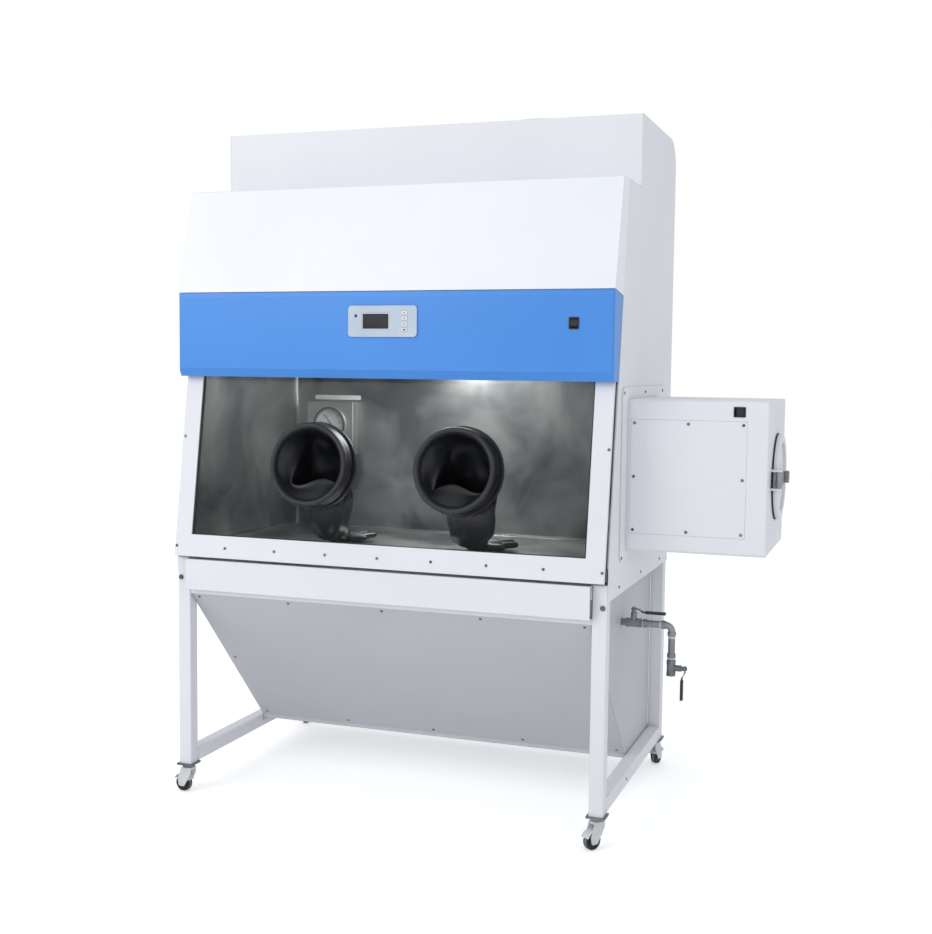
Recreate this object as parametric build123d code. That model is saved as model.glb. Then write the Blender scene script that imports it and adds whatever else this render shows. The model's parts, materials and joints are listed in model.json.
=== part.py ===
"""Class III biosafety cabinet on a caster stand, with glove ports and a pass box on its right side.

Millimetres. While it is being modelled, X runs across the front from the middle of the body, Y runs
back from the front face of the front legs and Z runs up from the floor. At the end everything moves so
that the middle of the bottom of the whole object's box is the origin.
"""
from build123d import *
import os
from math import cos, hypot, radians, sin, tan

# Sheet metal and how pieces meet
sheet = 2.0
seat = 0.3
running = 0.05

# Body
body_width = 1300.0
body_depth = 820.0
panel_foot = 668.0
rear_box_front = 320.0
hood_top = 1785.0
rear_box_top = 1987.0
rear_box_corner = 85.0
panel_fold = 15.0

# Stand
caster_height = 90.0
leg_size = 40.0
leg_wall = 2.0
leg_corner = 3.0
leg_top = 712.0

# Apron and kick panel
apron_proud = 25.0
apron_height = 90.0
apron_lip = 16.0
kick_top = 605.0
kick_foot = 132.0
kick_run = 438.0
kick_lip = 12.0

# Leaning window
window_lean = 8.8
frame_foot = 720.0
frame_width = 1288.0
frame_length = 617.0
frame_thickness = 10.0
frame_rail = 52.0
frame_foot_rail = 64.8
frame_head_rail = 72.0
glass_thickness = 8.0
glass_overlap = 20.0
gasket_width = 12.0
flange_thickness = 3.0

# Glove ports
port_pitch = 436.0
port_shift = 9.0
port_height = 280.0
port_radius = 104.0
port_wall = 6.0
port_reach = 46.0
port_flange = 125.0
port_flange_thickness = 8.0
port_tail = 22.0
sleeve_drop = 66.7
sleeve_y = 100.0
wrist_y = 140.0
cuff_wall = 4.0

# Chamber
chamber_width = 1194.0
chamber_back = 665.0
chamber_floor = 742.0
chamber_ceiling = 1340.0
tray_height = 8.0
tray_well = 1.0
tray_depth = 560.0

# Fascia and hood
fascia_front = 14.0
fascia_foot = 1245.0
fascia_bend = 1269.0
fascia_top = 1486.0
hood_front = 15.7
hood_crest = 94.0
cover_fall = 14.0

# Controls
bezel_width = 205.0
bezel_height = 86.0
bezel_corner = 11.0
bezel_proud = 4.0
bezel_depth = 24.0
bezel_x = -1.5
bezel_z = 1403.0
screen_width = 83.0
screen_height = 47.0
screen_x = -21.5
key_width = 17.0
key_height = 10.0
key_pitch = 15.4
key_x = 65.0
key_travel = 1.0
key_proud = 2.0
rocker_width = 20.0
rocker_height = 24.0
rocker_tilt = 10.0
switch_rim = 3.6
switch_proud = 2.0
switch_depth = 22.0
power_x = 541.5
power_z = 1397.5
pass_switch_x = 953.0
pass_switch_z = 1169.0

# Pass box
pass_reach = 380.0
pass_front = 182.0
pass_back = 591.0
pass_foot = 784.0
pass_head = 1198.0
pass_wall = 4.0
pass_corner = 10.0
pass_margin = 13.0
flange_front = 117.0
flange_back = 695.0
flange_foot = 757.0
flange_head = 1231.0
cover_front_x = 662.0
cover_width = 312.0
cover_foot = 832.0
cover_recess = 2.5
door_y = 392.0
door_z = 986.0
door_radius = 120.0
door_thickness = 12.0
door_opening = 100.0
seal_thickness = 4.0
arm_pivot_y = 262.0
arm_width = 44.0
arm_thickness = 8.0
knob_radius = 17.0
knob_length = 10.0

# Inner door
inner_door_front = 130.0
inner_door_back = 600.0
inner_door_foot = 800.0
inner_door_head = 1201.0
inner_door_thickness = 18.0
hinge_pin = 3.0
hinge_knuckle = 6.5
handle_z = 1014.0
handle_length = 64.0

# Gauge
gauge_box_width = 167.0
gauge_box_depth = 42.0
gauge_box_foot = 986.0
gauge_box_height = 174.5
gauge_box_x = -452.5
gauge_z = gauge_box_foot + 99.0
gauge_radius = 58.0
dial_radius = 50.0
dial_recess = 5.0
needle_length = 40.0
needle_pin = 1.5

# Drain
drain_y = 365.0
drain_z = 548.0
drain_pipe = 10.0
valve_radius = 12.5
valve_length = 46.0
valve_x = 620.0
drop_x = 754.0
elbow_radius = 19.0
lower_valve_top = 448.0
lever_length = 98.0
lever_width = 14.0
lever_thickness = 3.0
stem_radius = 4.0
sump_x = 520.0

# Casters
wheel_radius = 25.0
wheel_width = 18.0
caster_trail = 18.0
axle_radius = 3.0
fork_cheek = 3.0
king_pin = 5.0
race_radius = 18.0
plate_size = 54.0
plate_thickness = 4.0

# Filters, fan and lamp
filter_depth = 400.0
filter_height = 110.0
supply_filter_width = 500.0
exhaust_filter_width = 460.0
filter_front = 150.0
fan_x = 290.0
fan_y = (rear_box_front + body_depth) / 2 - 10.0
fan_z = 1770.0
fan_radius = 90.0
fan_width = 90.0
fan_blades = 18
housing_radius = 125.0
housing_width = 120.0
housing_wall = 3.0
motor_radius = 55.0
motor_length = 80.0
shaft_radius = 6.0
collar_radius = 100.0
collar_height = 30.0
lamp_length = 900.0
lamp_radius = 13.0

# Fasteners
screw_radius = 4.0
screw_head = 2.2
frame_side_screw = 348.0
side_screw_pitch = 282.0
bolt_radius = 7.0
bolt_head = 5.0

half_width = body_width / 2
lean = radians(window_lean)
frame_front = -apron_proud


def block(x0, x1, y0, y1, z0, z1):
    """A box from its six limits."""
    middle = Pos((x0 + x1) / 2, (y0 + y1) / 2, (z0 + z1) / 2)
    return middle * Box(x1 - x0, y1 - y0, z1 - z0)


def rod(radius, start, end):
    """A round bar from one point to another."""
    run = Vector(*end) - Vector(*start)
    return extrude(Plane(origin=start, z_dir=run) * Circle(radius), amount=run.length)


def side_cut(points, x0, x1):
    """A slab whose outline, a list of (y, z) points, runs from x0 to x1."""
    outline = make_face(Plane.YZ.offset(x0) * Polyline(*points, close=True))
    return extrude(outline, amount=x1 - x0, dir=(1, 0, 0))


def folded_sheet(points, bend, x0, x1, side):
    """A folded sheet whose (y, z) line has rounded bends, from x0 to x1."""
    section = make_face(offset(FilletPolyline(*points, radius=bend), sheet, side=side))
    return extrude(Plane.YZ.offset(x0) * section, amount=x1 - x0, dir=(1, 0, 0))


def square_tube(length):
    """A square tube that stands on the origin."""
    outer = RectangleRounded(leg_size, leg_size, leg_corner)
    hole = leg_size - 2 * leg_wall
    inner = RectangleRounded(hole, hole, leg_corner - leg_wall)
    return extrude(outer - inner, amount=length)


def lean_y(z, depth=0.0):
    """Y at height z on the plane that lies this deep behind the window frame's front."""
    return frame_front + (z - frame_foot) * tan(lean) + depth / cos(lean)


def lean_slab(x0, x1, s0, s1, depth0, depth1):
    """A box in the leaning window's frame: across, up the slope, and depth behind its front."""
    return window_plane * block(x0, x1, s0, s1, -depth1, -depth0)


def each_side(solid):
    """A piece for the right side with its mirror image for the left side."""
    return [solid, mirror(solid, about=Plane.YZ)]


def group(solids):
    """Separate solids kept together in one node."""
    return Compound(children=list(solids))


window_plane = Plane(origin=(0, frame_front, frame_foot), x_dir=(1, 0, 0), z_dir=(0, -cos(lean), sin(lean)))
parts = {}

# Stand: legs of square tube, tied by rails at the top and along the floor
leg_outer = half_width - sheet - seat
leg_x = leg_outer - leg_size / 2
leg_rows = (leg_size / 2, body_depth - sheet - seat - leg_size / 2)
leg_places = [(side * leg_x, row) for row in leg_rows for side in (-1, 1)]
parts["legs"] = group(Pos(x, y, caster_height) * square_tube(leg_top - caster_height) for x, y in leg_places)

rail_gap = leg_rows[1] - leg_rows[0] - leg_size - 2 * seat
cross_gap = 2 * (leg_x - leg_size / 2 - seat)
side_rail = Rot(-90, 0, 0) * square_tube(rail_gap)
cross_rail = Rot(0, 90, 0) * square_tube(cross_gap)
low_z = caster_height + leg_size / 2
high_z = leg_top - leg_size / 2
rail_start = leg_rows[0] + leg_size / 2 + seat
rails = [Pos(side * leg_x, rail_start, z) * side_rail for side in (-1, 1) for z in (low_z, high_z)]
rails += [Pos(-cross_gap / 2, leg_rows[1], z) * cross_rail for z in (low_z, high_z)]
rails.append(Pos(-cross_gap / 2, leg_rows[0], high_z) * cross_rail)
parts["frame_rails"] = group(rails)

# Apron: one folded tray in front of the top rail, with a lip below it
apron_half = leg_x - leg_size / 2 - seat
apron_top = leg_top - seat
apron_foot = apron_top - apron_height
kick_front = leg_size * 0.15
lip_y = kick_front - seat - sheet
apron_line = [(-seat, apron_top), (-apron_proud, apron_top), (-apron_proud, apron_foot),
              (lip_y, apron_foot), (lip_y, apron_foot - apron_lip)]
parts["front_apron"] = folded_sheet(apron_line, 3.0, -apron_half, apron_half, Side.LEFT)

# Side sheets between front and rear legs, cut along the kick panel's slope
sheet_outer = leg_x - leg_size / 2 - seat
kick_back = kick_front + kick_run
sheet_top = leg_top - leg_size - seat
sheet_rear = leg_rows[1] - leg_size / 2 - seat
sheet_foot = caster_height + leg_size / 2
sheet_outline = [(kick_front, sheet_top), (kick_front, kick_top), (kick_back, kick_foot), (kick_back, sheet_foot),
                 (sheet_rear, sheet_foot), (sheet_rear, sheet_top)]
drain_hole = rod(drain_pipe + 1, (0, drain_y, drain_z), (2 * half_width, drain_y, drain_z))
right_sheet = side_cut(sheet_outline, sheet_outer - sheet, sheet_outer)
left_sheet = mirror(right_sheet, about=Plane.YZ)
parts["side_sheets"] = group([left_sheet, right_sheet - drain_hole])

# Kick panel: a sloped sheet with a flange up to the top rail, a lip at its foot and folded sides
kick_half = sheet_outer - sheet - seat
kick_line = [(kick_front, sheet_top), (kick_front, kick_top), (kick_back, kick_foot), (kick_back, kick_foot - kick_lip)]
kick_slope = hypot(kick_run, kick_top - kick_foot)
back_y = kick_lip * (kick_top - kick_foot) / kick_slope
back_z = kick_lip * kick_run / kick_slope
side_lip = side_cut([(kick_front + 2, kick_top), (kick_back + 1, kick_foot), (kick_back + back_y, kick_foot + back_z),
                     (kick_front + back_y, kick_top + back_z)], kick_half - sheet, kick_half)
kick_sheet = folded_sheet(kick_line, 2.5, -kick_half, kick_half, Side.LEFT)
for lip in each_side(side_lip):
    kick_sheet += lip
parts["kick_panel"] = kick_sheet

# Base tray that closes the body underneath
inside_half = half_width - sheet - seat
tray_z = leg_top + seat
base = block(-inside_half, inside_half, seat, body_depth - sheet - seat, tray_z, tray_z + sheet)
sump = rod(drain_pipe + 1, (sump_x, drain_y, tray_z - 5), (sump_x, drain_y, chamber_floor + 5))
parts["base_tray"] = base - sump

# Side panels: one flat sheet each, folded in along the leaning front edge
stack = frame_thickness + glass_thickness + flange_thickness + seat
panel_top = hood_top - sheet - seat
panel_front = seat + sheet
edge_foot = frame_foot + (panel_front - frame_front - stack / cos(lean)) / tan(lean)
panel_face = make_face(Polyline((panel_front, panel_foot), (panel_front, edge_foot), (lean_y(panel_top, stack), panel_top),
                                (rear_box_front, panel_top), (rear_box_front, rear_box_top), (body_depth, rear_box_top),
                                (body_depth, panel_foot), close=True))
rear_corner = panel_face.vertices().sort_by(lambda v: v.X + v.Y)[-1]
panel_face = fillet(rear_corner, rear_box_corner)
panel = extrude(Plane.YZ.offset(half_width - sheet) * panel_face, amount=sheet, dir=(1, 0, 0))
fold_depth = stack + sheet
panel += side_cut([(lean_y(edge_foot, stack), edge_foot), (lean_y(panel_top, stack), panel_top),
                   (lean_y(panel_top, fold_depth), panel_top), (lean_y(edge_foot, fold_depth), edge_foot)],
                  half_width - panel_fold, half_width - sheet)
spigot_y0 = pass_front + pass_margin
spigot_y1 = pass_back - pass_margin
spigot_z0 = pass_foot + pass_margin + 8
spigot_z1 = pass_head - pass_margin - 8
pass_hole = block(half_width - panel_fold, half_width + 1, spigot_y0 - seat, spigot_y1 + seat,
                  spigot_z0 - seat, spigot_z1 + seat)
parts["left_side_panel"] = mirror(panel, about=Plane.YZ)
parts["right_side_panel"] = panel - pass_hole

# Back panel and the cover over the rear box, with the exhaust collar on it
cover_half = half_width - sheet - seat
corner_foot = rear_box_top - rear_box_corner
parts["back_panel"] = block(-cover_half, cover_half, body_depth - sheet, body_depth, panel_foot, corner_foot - seat)
cover_face = make_face(Polyline((rear_box_front, hood_top + seat), (rear_box_front, rear_box_top),
                                (body_depth, rear_box_top), (body_depth, corner_foot),
                                (body_depth - sheet, corner_foot), (body_depth - sheet, rear_box_top - sheet),
                                (rear_box_front + sheet, rear_box_top - sheet), (rear_box_front + sheet, hood_top + seat),
                                close=True))
outer_corner = cover_face.vertices().sort_by(lambda v: v.X + v.Y)[-1]
cover_face = fillet(outer_corner, rear_box_corner)
inner_corner = cover_face.vertices().sort_by_distance((body_depth - sheet, rear_box_top - sheet))[0]
cover_face = fillet(inner_corner, rear_box_corner - sheet)
top_cover = extrude(Plane.YZ.offset(-cover_half) * cover_face, amount=2 * cover_half, dir=(1, 0, 0))
top_cover += rod(collar_radius, (fan_x, fan_y, rear_box_top - sheet), (fan_x, fan_y, rear_box_top + collar_height))
top_cover -= rod(collar_radius - sheet, (fan_x, fan_y, rear_box_top - 2 * sheet),
                 (fan_x, fan_y, rear_box_top + collar_height + 1))
parts["rear_top_cover"] = top_cover

# Hood: sloped front, flat top and cheeks back to the side panels' front edges
hood_foot = fascia_top + 1
edge_low = lean_y(hood_foot - cover_fall, stack) - seat
edge_high = lean_y(panel_top, stack) - seat
lift = panel_top + seat
hood_body = side_cut([(hood_front, hood_foot), (hood_crest, hood_top), (rear_box_front - seat, hood_top),
                      (rear_box_front - seat, lift), (edge_high, lift), (edge_low, hood_foot - cover_fall)],
                     -half_width, half_width)
hood_rise = (hood_crest - hood_front) / (hood_top - hood_foot)
hollow_low = hood_foot - 2 * cover_fall
hollow_front = hood_front + sheet - 2 * cover_fall * hood_rise
hollow_crest = hood_front + sheet + (lift - hood_foot) * hood_rise
hood_hollow = side_cut([(hollow_front, hollow_low), (hollow_crest, lift), (rear_box_front + 5, lift),
                        (rear_box_front + 5, hollow_low)], -half_width + sheet, half_width - sheet)
crest = hood_body.edges().filter_by(Axis.X).sort_by(lambda e: -abs(e.center().Y - hood_crest))[-1]
hood_body = fillet(crest, 5.0)
parts["hood"] = hood_body - hood_hollow

# Blue fascia: upright front, a bevelled foot and cheeks that fall towards the back
cheek_back_top = lean_y(fascia_top, stack) - seat
cheek_back_foot = lean_y(fascia_foot, stack) - seat
foot_y = fascia_front + (fascia_bend - fascia_foot) * 0.55
fascia_body = side_cut([(foot_y, fascia_foot), (fascia_front, fascia_bend), (fascia_front, fascia_top - cover_fall),
                        (fascia_front + 4, fascia_top), (cheek_back_top - 6, fascia_top - cover_fall),
                        (cheek_back_foot, fascia_foot)], -half_width + 1, half_width - 1)
front_corners = fascia_body.faces().sort_by(Axis.Y)[0].edges().filter_by(Axis.Z)
fascia_body = fillet(front_corners, 6.0)
inner_half = half_width - 1 - sheet
fascia_hollow = side_cut([(foot_y + sheet, fascia_foot + sheet), (fascia_front + sheet, fascia_bend),
                          (fascia_front + sheet, fascia_top - cover_fall), (fascia_front + 4 + sheet, fascia_top - 1.2 * sheet),
                          (cheek_back_top, fascia_top - cover_fall - 1.2 * sheet - 1),
                          (cheek_back_top, fascia_foot + sheet)], -inner_half, inner_half)
back_opening = block(-inner_half, inner_half, lean_y(fascia_foot, 0) - seat, body_depth, fascia_foot - 5, fascia_top)
bezel_hole = block(bezel_x - bezel_width / 2 + bezel_corner, bezel_x + bezel_width / 2 - bezel_corner, 0, fascia_front + 5,
                   bezel_z - bezel_height / 2 + 5, bezel_z + bezel_height / 2 - 5)
switch_hole = block(power_x - rocker_width / 2 - 2, power_x + rocker_width / 2 + 2, 0, fascia_front + 5,
                    power_z - rocker_height / 2 - 2, power_z + rocker_height / 2 + 2)
parts["blue_fascia"] = fascia_body - fascia_hollow - back_opening - bezel_hole - switch_hole

# Welded chamber: back, sides, floor and ceiling, with a leaning flange round the window opening
wall_half = chamber_width / 2
flange_depth0 = frame_thickness + glass_thickness + seat
flange_depth1 = flange_depth0 + flange_thickness


def chamber_outline(grow, front_depth):
    """The chamber's side outline, grown all round and cut off along the leaning plane."""
    foot = chamber_floor - grow
    head = chamber_ceiling + grow
    back = chamber_back + grow
    return [(lean_y(foot, front_depth), foot), (lean_y(head, front_depth), head), (back, head), (back, foot)]


liner = side_cut(chamber_outline(sheet, flange_depth0), -wall_half - sheet, wall_half + sheet)
cavity = side_cut(chamber_outline(0, flange_depth0 - 5), -wall_half, wall_half)
cavity = fillet(cavity.edges().filter_by(Axis.Z).sort_by(Axis.Y)[-2:], 12.0)
flange_half = half_width - 1 - sheet - seat
flange_foot_s = 6.0
flange_head_s = (chamber_ceiling + 14 - frame_foot) / cos(lean)
liner += lean_slab(-flange_half, flange_half, flange_foot_s, flange_head_s, flange_depth0, flange_depth1)
liner -= cavity
pass_opening = block(wall_half - 20, half_width, spigot_y0 + sheet, spigot_y1 - sheet, spigot_z0 + sheet, spigot_z1 - sheet)
liner -= pass_opening
filter_left = -wall_half + 40
filter_right = filter_left + supply_filter_width
liner -= block(filter_left + 30, filter_right - 30, filter_front + 30, filter_front + filter_depth - 30,
               chamber_ceiling - 5, chamber_ceiling + 10)
exhaust_left = fan_x - exhaust_filter_width / 2
exhaust_right = fan_x + exhaust_filter_width / 2
liner -= block(exhaust_left + 30, exhaust_right - 30, filter_front + 30, filter_front + filter_depth - 30,
               chamber_ceiling - 5, chamber_ceiling + 10)
sump_hole = rod(drain_pipe - 2, (sump_x, drain_y, chamber_floor - 10), (sump_x, drain_y, chamber_floor + 5))
liner -= sump_hole
hinge_x = wall_half - hinge_knuckle - 7.0
hinge_y = inner_door_back + hinge_knuckle + 5.0
knuckle_length = 70.0
knuckle_feet = (inner_door_foot + 60, inner_door_head - 60 - knuckle_length)
lug = 8.0
for foot in knuckle_feet:
    for low in (foot - seat - lug, foot + knuckle_length + seat):
        liner += block(hinge_x - hinge_knuckle, wall_half + 1, hinge_y - hinge_knuckle, hinge_y + hinge_knuckle, low, low + lug)
    liner += rod(hinge_pin, (hinge_x, hinge_y, foot - lug), (hinge_x, hinge_y, foot + knuckle_length + lug))
parts["chamber_liner"] = liner

# Work tray: a lift-out sheet tray with a shallow well and turned-down edges
tray_half = wall_half - 6
tray_y0 = lean_y(chamber_floor, flange_depth1) + 30
tray_y1 = tray_y0 + tray_depth
tray_top = chamber_floor + seat + tray_height
tray = block(-tray_half, tray_half, tray_y0, tray_y1, chamber_floor + seat, tray_top)
tray -= block(-tray_half + sheet, tray_half - sheet, tray_y0 + sheet, tray_y1 - sheet, chamber_floor, tray_top - sheet)
tray -= block(-tray_half + 18, tray_half - 18, tray_y0 + 18, tray_y1 - 18, tray_top - tray_well, tray_top + 1)
parts["work_tray"] = tray

# Window: frame in front, glass held in a gasket against the chamber's flange
frame_half = frame_width / 2
opening_half = frame_half - frame_rail
opening_foot = frame_foot_rail
opening_head = frame_length - frame_head_rail
frame = lean_slab(-frame_half, frame_half, 0, frame_length, 0, frame_thickness)
frame = fillet(frame.faces().sort_by(Axis.Y)[0].edges(), 1.5)
frame -= lean_slab(-opening_half, opening_half, opening_foot, opening_head, -1, frame_thickness + 1)
parts["window_frame"] = frame

glass_half = opening_half + glass_overlap
glass_foot = opening_foot - glass_overlap
glass_head = opening_head + glass_overlap
glass_front = frame_thickness + seat / 2
glass_back = glass_front + glass_thickness - seat / 2
port_spots = [port_shift - port_pitch / 2, port_shift + port_pitch / 2]
glass = lean_slab(-glass_half, glass_half, glass_foot, glass_head, glass_front, glass_back)
for x in port_spots:
    spot = window_plane * Pos(x, port_height, 0)
    glass -= spot * Pos(0, 0, -30) * Cylinder(port_radius + port_wall + seat, 60)
parts["window_glass"] = glass
gasket = lean_slab(-glass_half - gasket_width, glass_half + gasket_width, glass_foot - gasket_width,
                   glass_head + gasket_width, glass_front, glass_back)
gasket -= lean_slab(-glass_half - seat, glass_half + seat, glass_foot - seat, glass_head + seat, 0, 30)
parts["window_gasket"] = gasket


def port_turned(points):
    """A ring turned about the port's axis from (radius, height in front of the window frame) points."""
    profile = make_face(Plane.XZ * Polyline(*points, close=True))
    return revolve(profile, Axis.Z)


flange_face = -glass_front + seat
barrel = port_radius + port_wall
port_ring = port_turned([(port_radius, -glass_back - port_tail), (barrel, -glass_back - port_tail), (barrel, flange_face),
                         (port_flange, flange_face), (port_flange, flange_face + port_flange_thickness - 2),
                         (port_flange - 2, flange_face + port_flange_thickness), (barrel, flange_face + port_flange_thickness),
                         (barrel, port_reach - 8), (barrel + 2.5, port_reach - 5), (barrel + 2.5, port_reach - 2),
                         (barrel, port_reach), (port_radius, port_reach)])
cuff_in = barrel + 2.5 + seat
cuff_out = cuff_in + cuff_wall
cuff_face = port_reach + seat
cuff_foot = flange_face + port_flange_thickness + seat
cuff = port_turned([(cuff_in, cuff_foot), (cuff_out, cuff_foot), (cuff_out + 2, cuff_foot + 4), (cuff_out, cuff_foot + 8),
                    (cuff_out, cuff_foot + 20), (cuff_out + 2, cuff_foot + 24), (cuff_out, cuff_foot + 28),
                    (cuff_out, cuff_face), (cuff_out - 3, cuff_face + cuff_wall + 3), (port_radius + 1, cuff_face + cuff_wall + 3),
                    (port_radius - cuff_wall, cuff_face), (port_radius - cuff_wall, -glass_back),
                    (port_radius - seat, -glass_back), (port_radius - seat, cuff_face), (cuff_in, cuff_face)])
ring_places = [window_plane * Pos(x, port_height, 0) for x in port_spots]
parts["port_rings"] = group(place * port_ring for place in ring_places)
parts["glove_cuffs"] = group(place * cuff for place in ring_places)


def glove(x, hand_turn):
    """A collapsed glove: a tapering sleeve from the port down to a flat hand on the tray."""
    mouth = window_plane * Pos(x, port_height, -glass_back - 2) * Rot(180, 0, 0)
    shoulder_z = frame_foot + port_height * cos(lean) - sleeve_drop
    shoulder = Plane(origin=(x - 10, sleeve_y, shoulder_z), x_dir=(1, 0, 0), z_dir=(-0.05, 0.45, -0.9))
    wrist = Plane(origin=(x - 20, wrist_y, tray_top + 36), x_dir=(1, 0, 0), z_dir=(0, 0.25, -0.97))
    sleeve = loft([mouth * Circle(port_radius - cuff_wall - 3), shoulder * Ellipse(62, 50), wrist * Ellipse(46, 26)])
    hand = block(-42, 42, -20, 110, 0, 30)
    hand = fillet(hand.edges().filter_by(Axis.Z), 18.0)
    return sleeve + Pos(x - 20, wrist_y, tray_top - tray_well + seat) * Rot(0, 0, hand_turn) * hand


parts["left_glove"] = glove(port_spots[0], -25)
parts["right_glove"] = glove(port_spots[1], -35)

# Display: bezel with a pocket for the screen and one for each key
bezel_back = fascia_front + bezel_depth
bezel_front = fascia_front - seat - bezel_proud
bezel = Plane.XZ.offset(-(fascia_front - seat)) * RectangleRounded(bezel_width, bezel_height, bezel_corner)
bezel = Pos(bezel_x, 0, bezel_z) * extrude(bezel, amount=bezel_proud)
body_x = bezel_width / 2 - bezel_corner - seat
body_z = bezel_height / 2 - 5 - seat
bezel += block(bezel_x - body_x, bezel_x + body_x, fascia_front - seat, bezel_back, bezel_z - body_z, bezel_z + body_z)
screen_box = (screen_x - screen_width / 2, screen_x + screen_width / 2, bezel_front, bezel_front + 6,
              bezel_z - screen_height / 2, bezel_z + screen_height / 2)
bezel -= block(screen_box[0], screen_box[1], bezel_front - 1, screen_box[3], screen_box[4], screen_box[5])
parts["display_screen"] = block(screen_box[0] + seat, screen_box[1] - seat, bezel_front + 1, screen_box[3] - seat,
                                screen_box[4] + seat, screen_box[5] - seat)
key_names = ("up_key", "down_key", "set_key", "lamp_key")
key_depth = 6.0
for row, name in enumerate(key_names):
    key_z = bezel_z + (1.5 - row) * key_pitch
    key_front = bezel_front - key_proud
    bezel -= block(key_x - key_width / 2 - seat, key_x + key_width / 2 + seat, bezel_front - 1,
                   key_front + key_depth + key_travel + seat, key_z - key_height / 2 - seat, key_z + key_height / 2 + seat)
    key = block(key_x - key_width / 2, key_x + key_width / 2, key_front, key_front + key_depth,
                key_z - key_height / 2, key_z + key_height / 2)
    parts[name] = fillet(key.faces().sort_by(Axis.Y)[0].edges(), 1.0)
parts["display_bezel"] = bezel


def switch_frame():
    """A rocker switch's housing with its rim on the panel's front at Y = 0, facing -Y."""
    rim_x = rocker_width / 2 + switch_rim
    rim_z = rocker_height / 2 + switch_rim
    rim = fillet(block(-rim_x, rim_x, -switch_proud, -seat, -rim_z, rim_z).edges().filter_by(Axis.Y), 2.0)
    cup_x = rocker_width / 2 + 2 - seat
    cup_z = rocker_height / 2 + 2 - seat
    cup = block(-cup_x, cup_x, -seat, switch_depth, -cup_z, cup_z)
    pocket = block(-rocker_width / 2 - seat, rocker_width / 2 + seat, -10, switch_depth - 2,
                   -rocker_height / 2 - seat, rocker_height / 2 + seat)
    return rim + cup - pocket


def switch_rocker():
    """A rocker whose ends are round about its pivot, tipped so that one end stands proud."""
    pivot = switch_depth * 0.3
    body = block(-rocker_width / 2, rocker_width / 2, -4 * switch_proud, pivot + 3, -rocker_height, rocker_height)
    body &= rod(rocker_height / 2, (-rocker_width, pivot, 0), (rocker_width, pivot, 0))
    for tip in (-1, 1):
        face = block(-rocker_width, rocker_width, -50, -1.2 * switch_proud, -rocker_height, rocker_height)
        body -= Pos(0, 0, 0) * Rot(tip * rocker_tilt * 0.9, 0, 0) * face
    place = Pos(0, pivot, 0) * Rot(-rocker_tilt, 0, 0) * Pos(0, -pivot, 0)
    return place * body


power_place = Pos(power_x, fascia_front, power_z)
pass_switch_place = Pos(pass_switch_x, pass_front, pass_switch_z) * Rot(0, 90, 0)
parts["switch_frames"] = group([power_place * switch_frame(), pass_switch_place * switch_frame()])
parts["power_rocker"] = power_place * switch_rocker()
parts["pass_box_rocker"] = pass_switch_place * switch_rocker()

# Pass box: a welded box on a flange plate, with a spigot through the body's side into the chamber
pass_x0 = half_width + seat
pass_x1 = half_width + pass_reach
shell = block(pass_x0, pass_x1, pass_front, pass_back, pass_foot, pass_head)
shell = fillet(shell.edges().filter_by(Axis.X), pass_corner)
shell = fillet(shell.faces().sort_by(Axis.X)[-1].edges(), pass_wall)
flange_middle = ((flange_front + flange_back) / 2, (flange_foot + flange_head) / 2)
flange_size = (flange_back - flange_front, flange_head - flange_foot)
flange_plate = extrude(Plane.YZ.offset(pass_x0) * Pos(*flange_middle) * RectangleRounded(*flange_size, 25.0), amount=3.0)
spigot_x0 = wall_half + sheet + seat
shell += flange_plate
shell += block(spigot_x0, pass_x0, spigot_y0, spigot_y1, spigot_z0, spigot_z1)
shell -= block(spigot_x0 - 1, pass_x0 + pass_wall, spigot_y0 + sheet, spigot_y1 - sheet, spigot_z0 + sheet, spigot_z1 - sheet)
shell -= block(pass_x0 + 3, pass_x1 - pass_wall, pass_front + pass_wall + cover_recess, pass_back - pass_wall,
               pass_foot + pass_wall, pass_head - pass_wall)
shell -= rod(door_opening, (pass_x1 - 2 * pass_wall, door_y, door_z), (pass_x1 + 1, door_y, door_z))
cover_x1 = cover_front_x + cover_width
cover_head = cover_foot + cover_width
shell -= block(cover_front_x - seat, cover_x1 + seat, pass_front - 1, pass_front + cover_recess,
               cover_foot - seat, cover_head + seat)
shell -= block(pass_switch_x - rocker_height / 2 - 2, pass_switch_x + rocker_height / 2 + 2, pass_front - 1,
               pass_front + 3 * pass_wall, pass_switch_z - rocker_width / 2 - 2, pass_switch_z + rocker_width / 2 + 2)
arm_x = pass_x1 + seat + seal_thickness + seat + door_thickness + seat + arm_thickness / 2
ear = 6.0
arm_low = door_z - arm_width / 2
arm_high = door_z + arm_width / 2
pivot_radius = 4.0
boss_radius = 9.0
for low in (arm_low - seat - ear, arm_high + seat):
    shell += block(pass_x1 - 1, arm_x, arm_pivot_y - boss_radius, arm_pivot_y + boss_radius, low, low + ear)
    shell += rod(boss_radius, (arm_x, arm_pivot_y, low), (arm_x, arm_pivot_y, low + ear))
shell += rod(pivot_radius, (arm_x, arm_pivot_y, arm_low - ear), (arm_x, arm_pivot_y, arm_high + ear))
parts["pass_box_shell"] = shell
cover_plate = block(cover_front_x, cover_x1, pass_front, pass_front + cover_recess - seat, cover_foot, cover_head)
parts["pass_box_cover"] = fillet(cover_plate.edges().filter_by(Axis.Y), 4.0)

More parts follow.
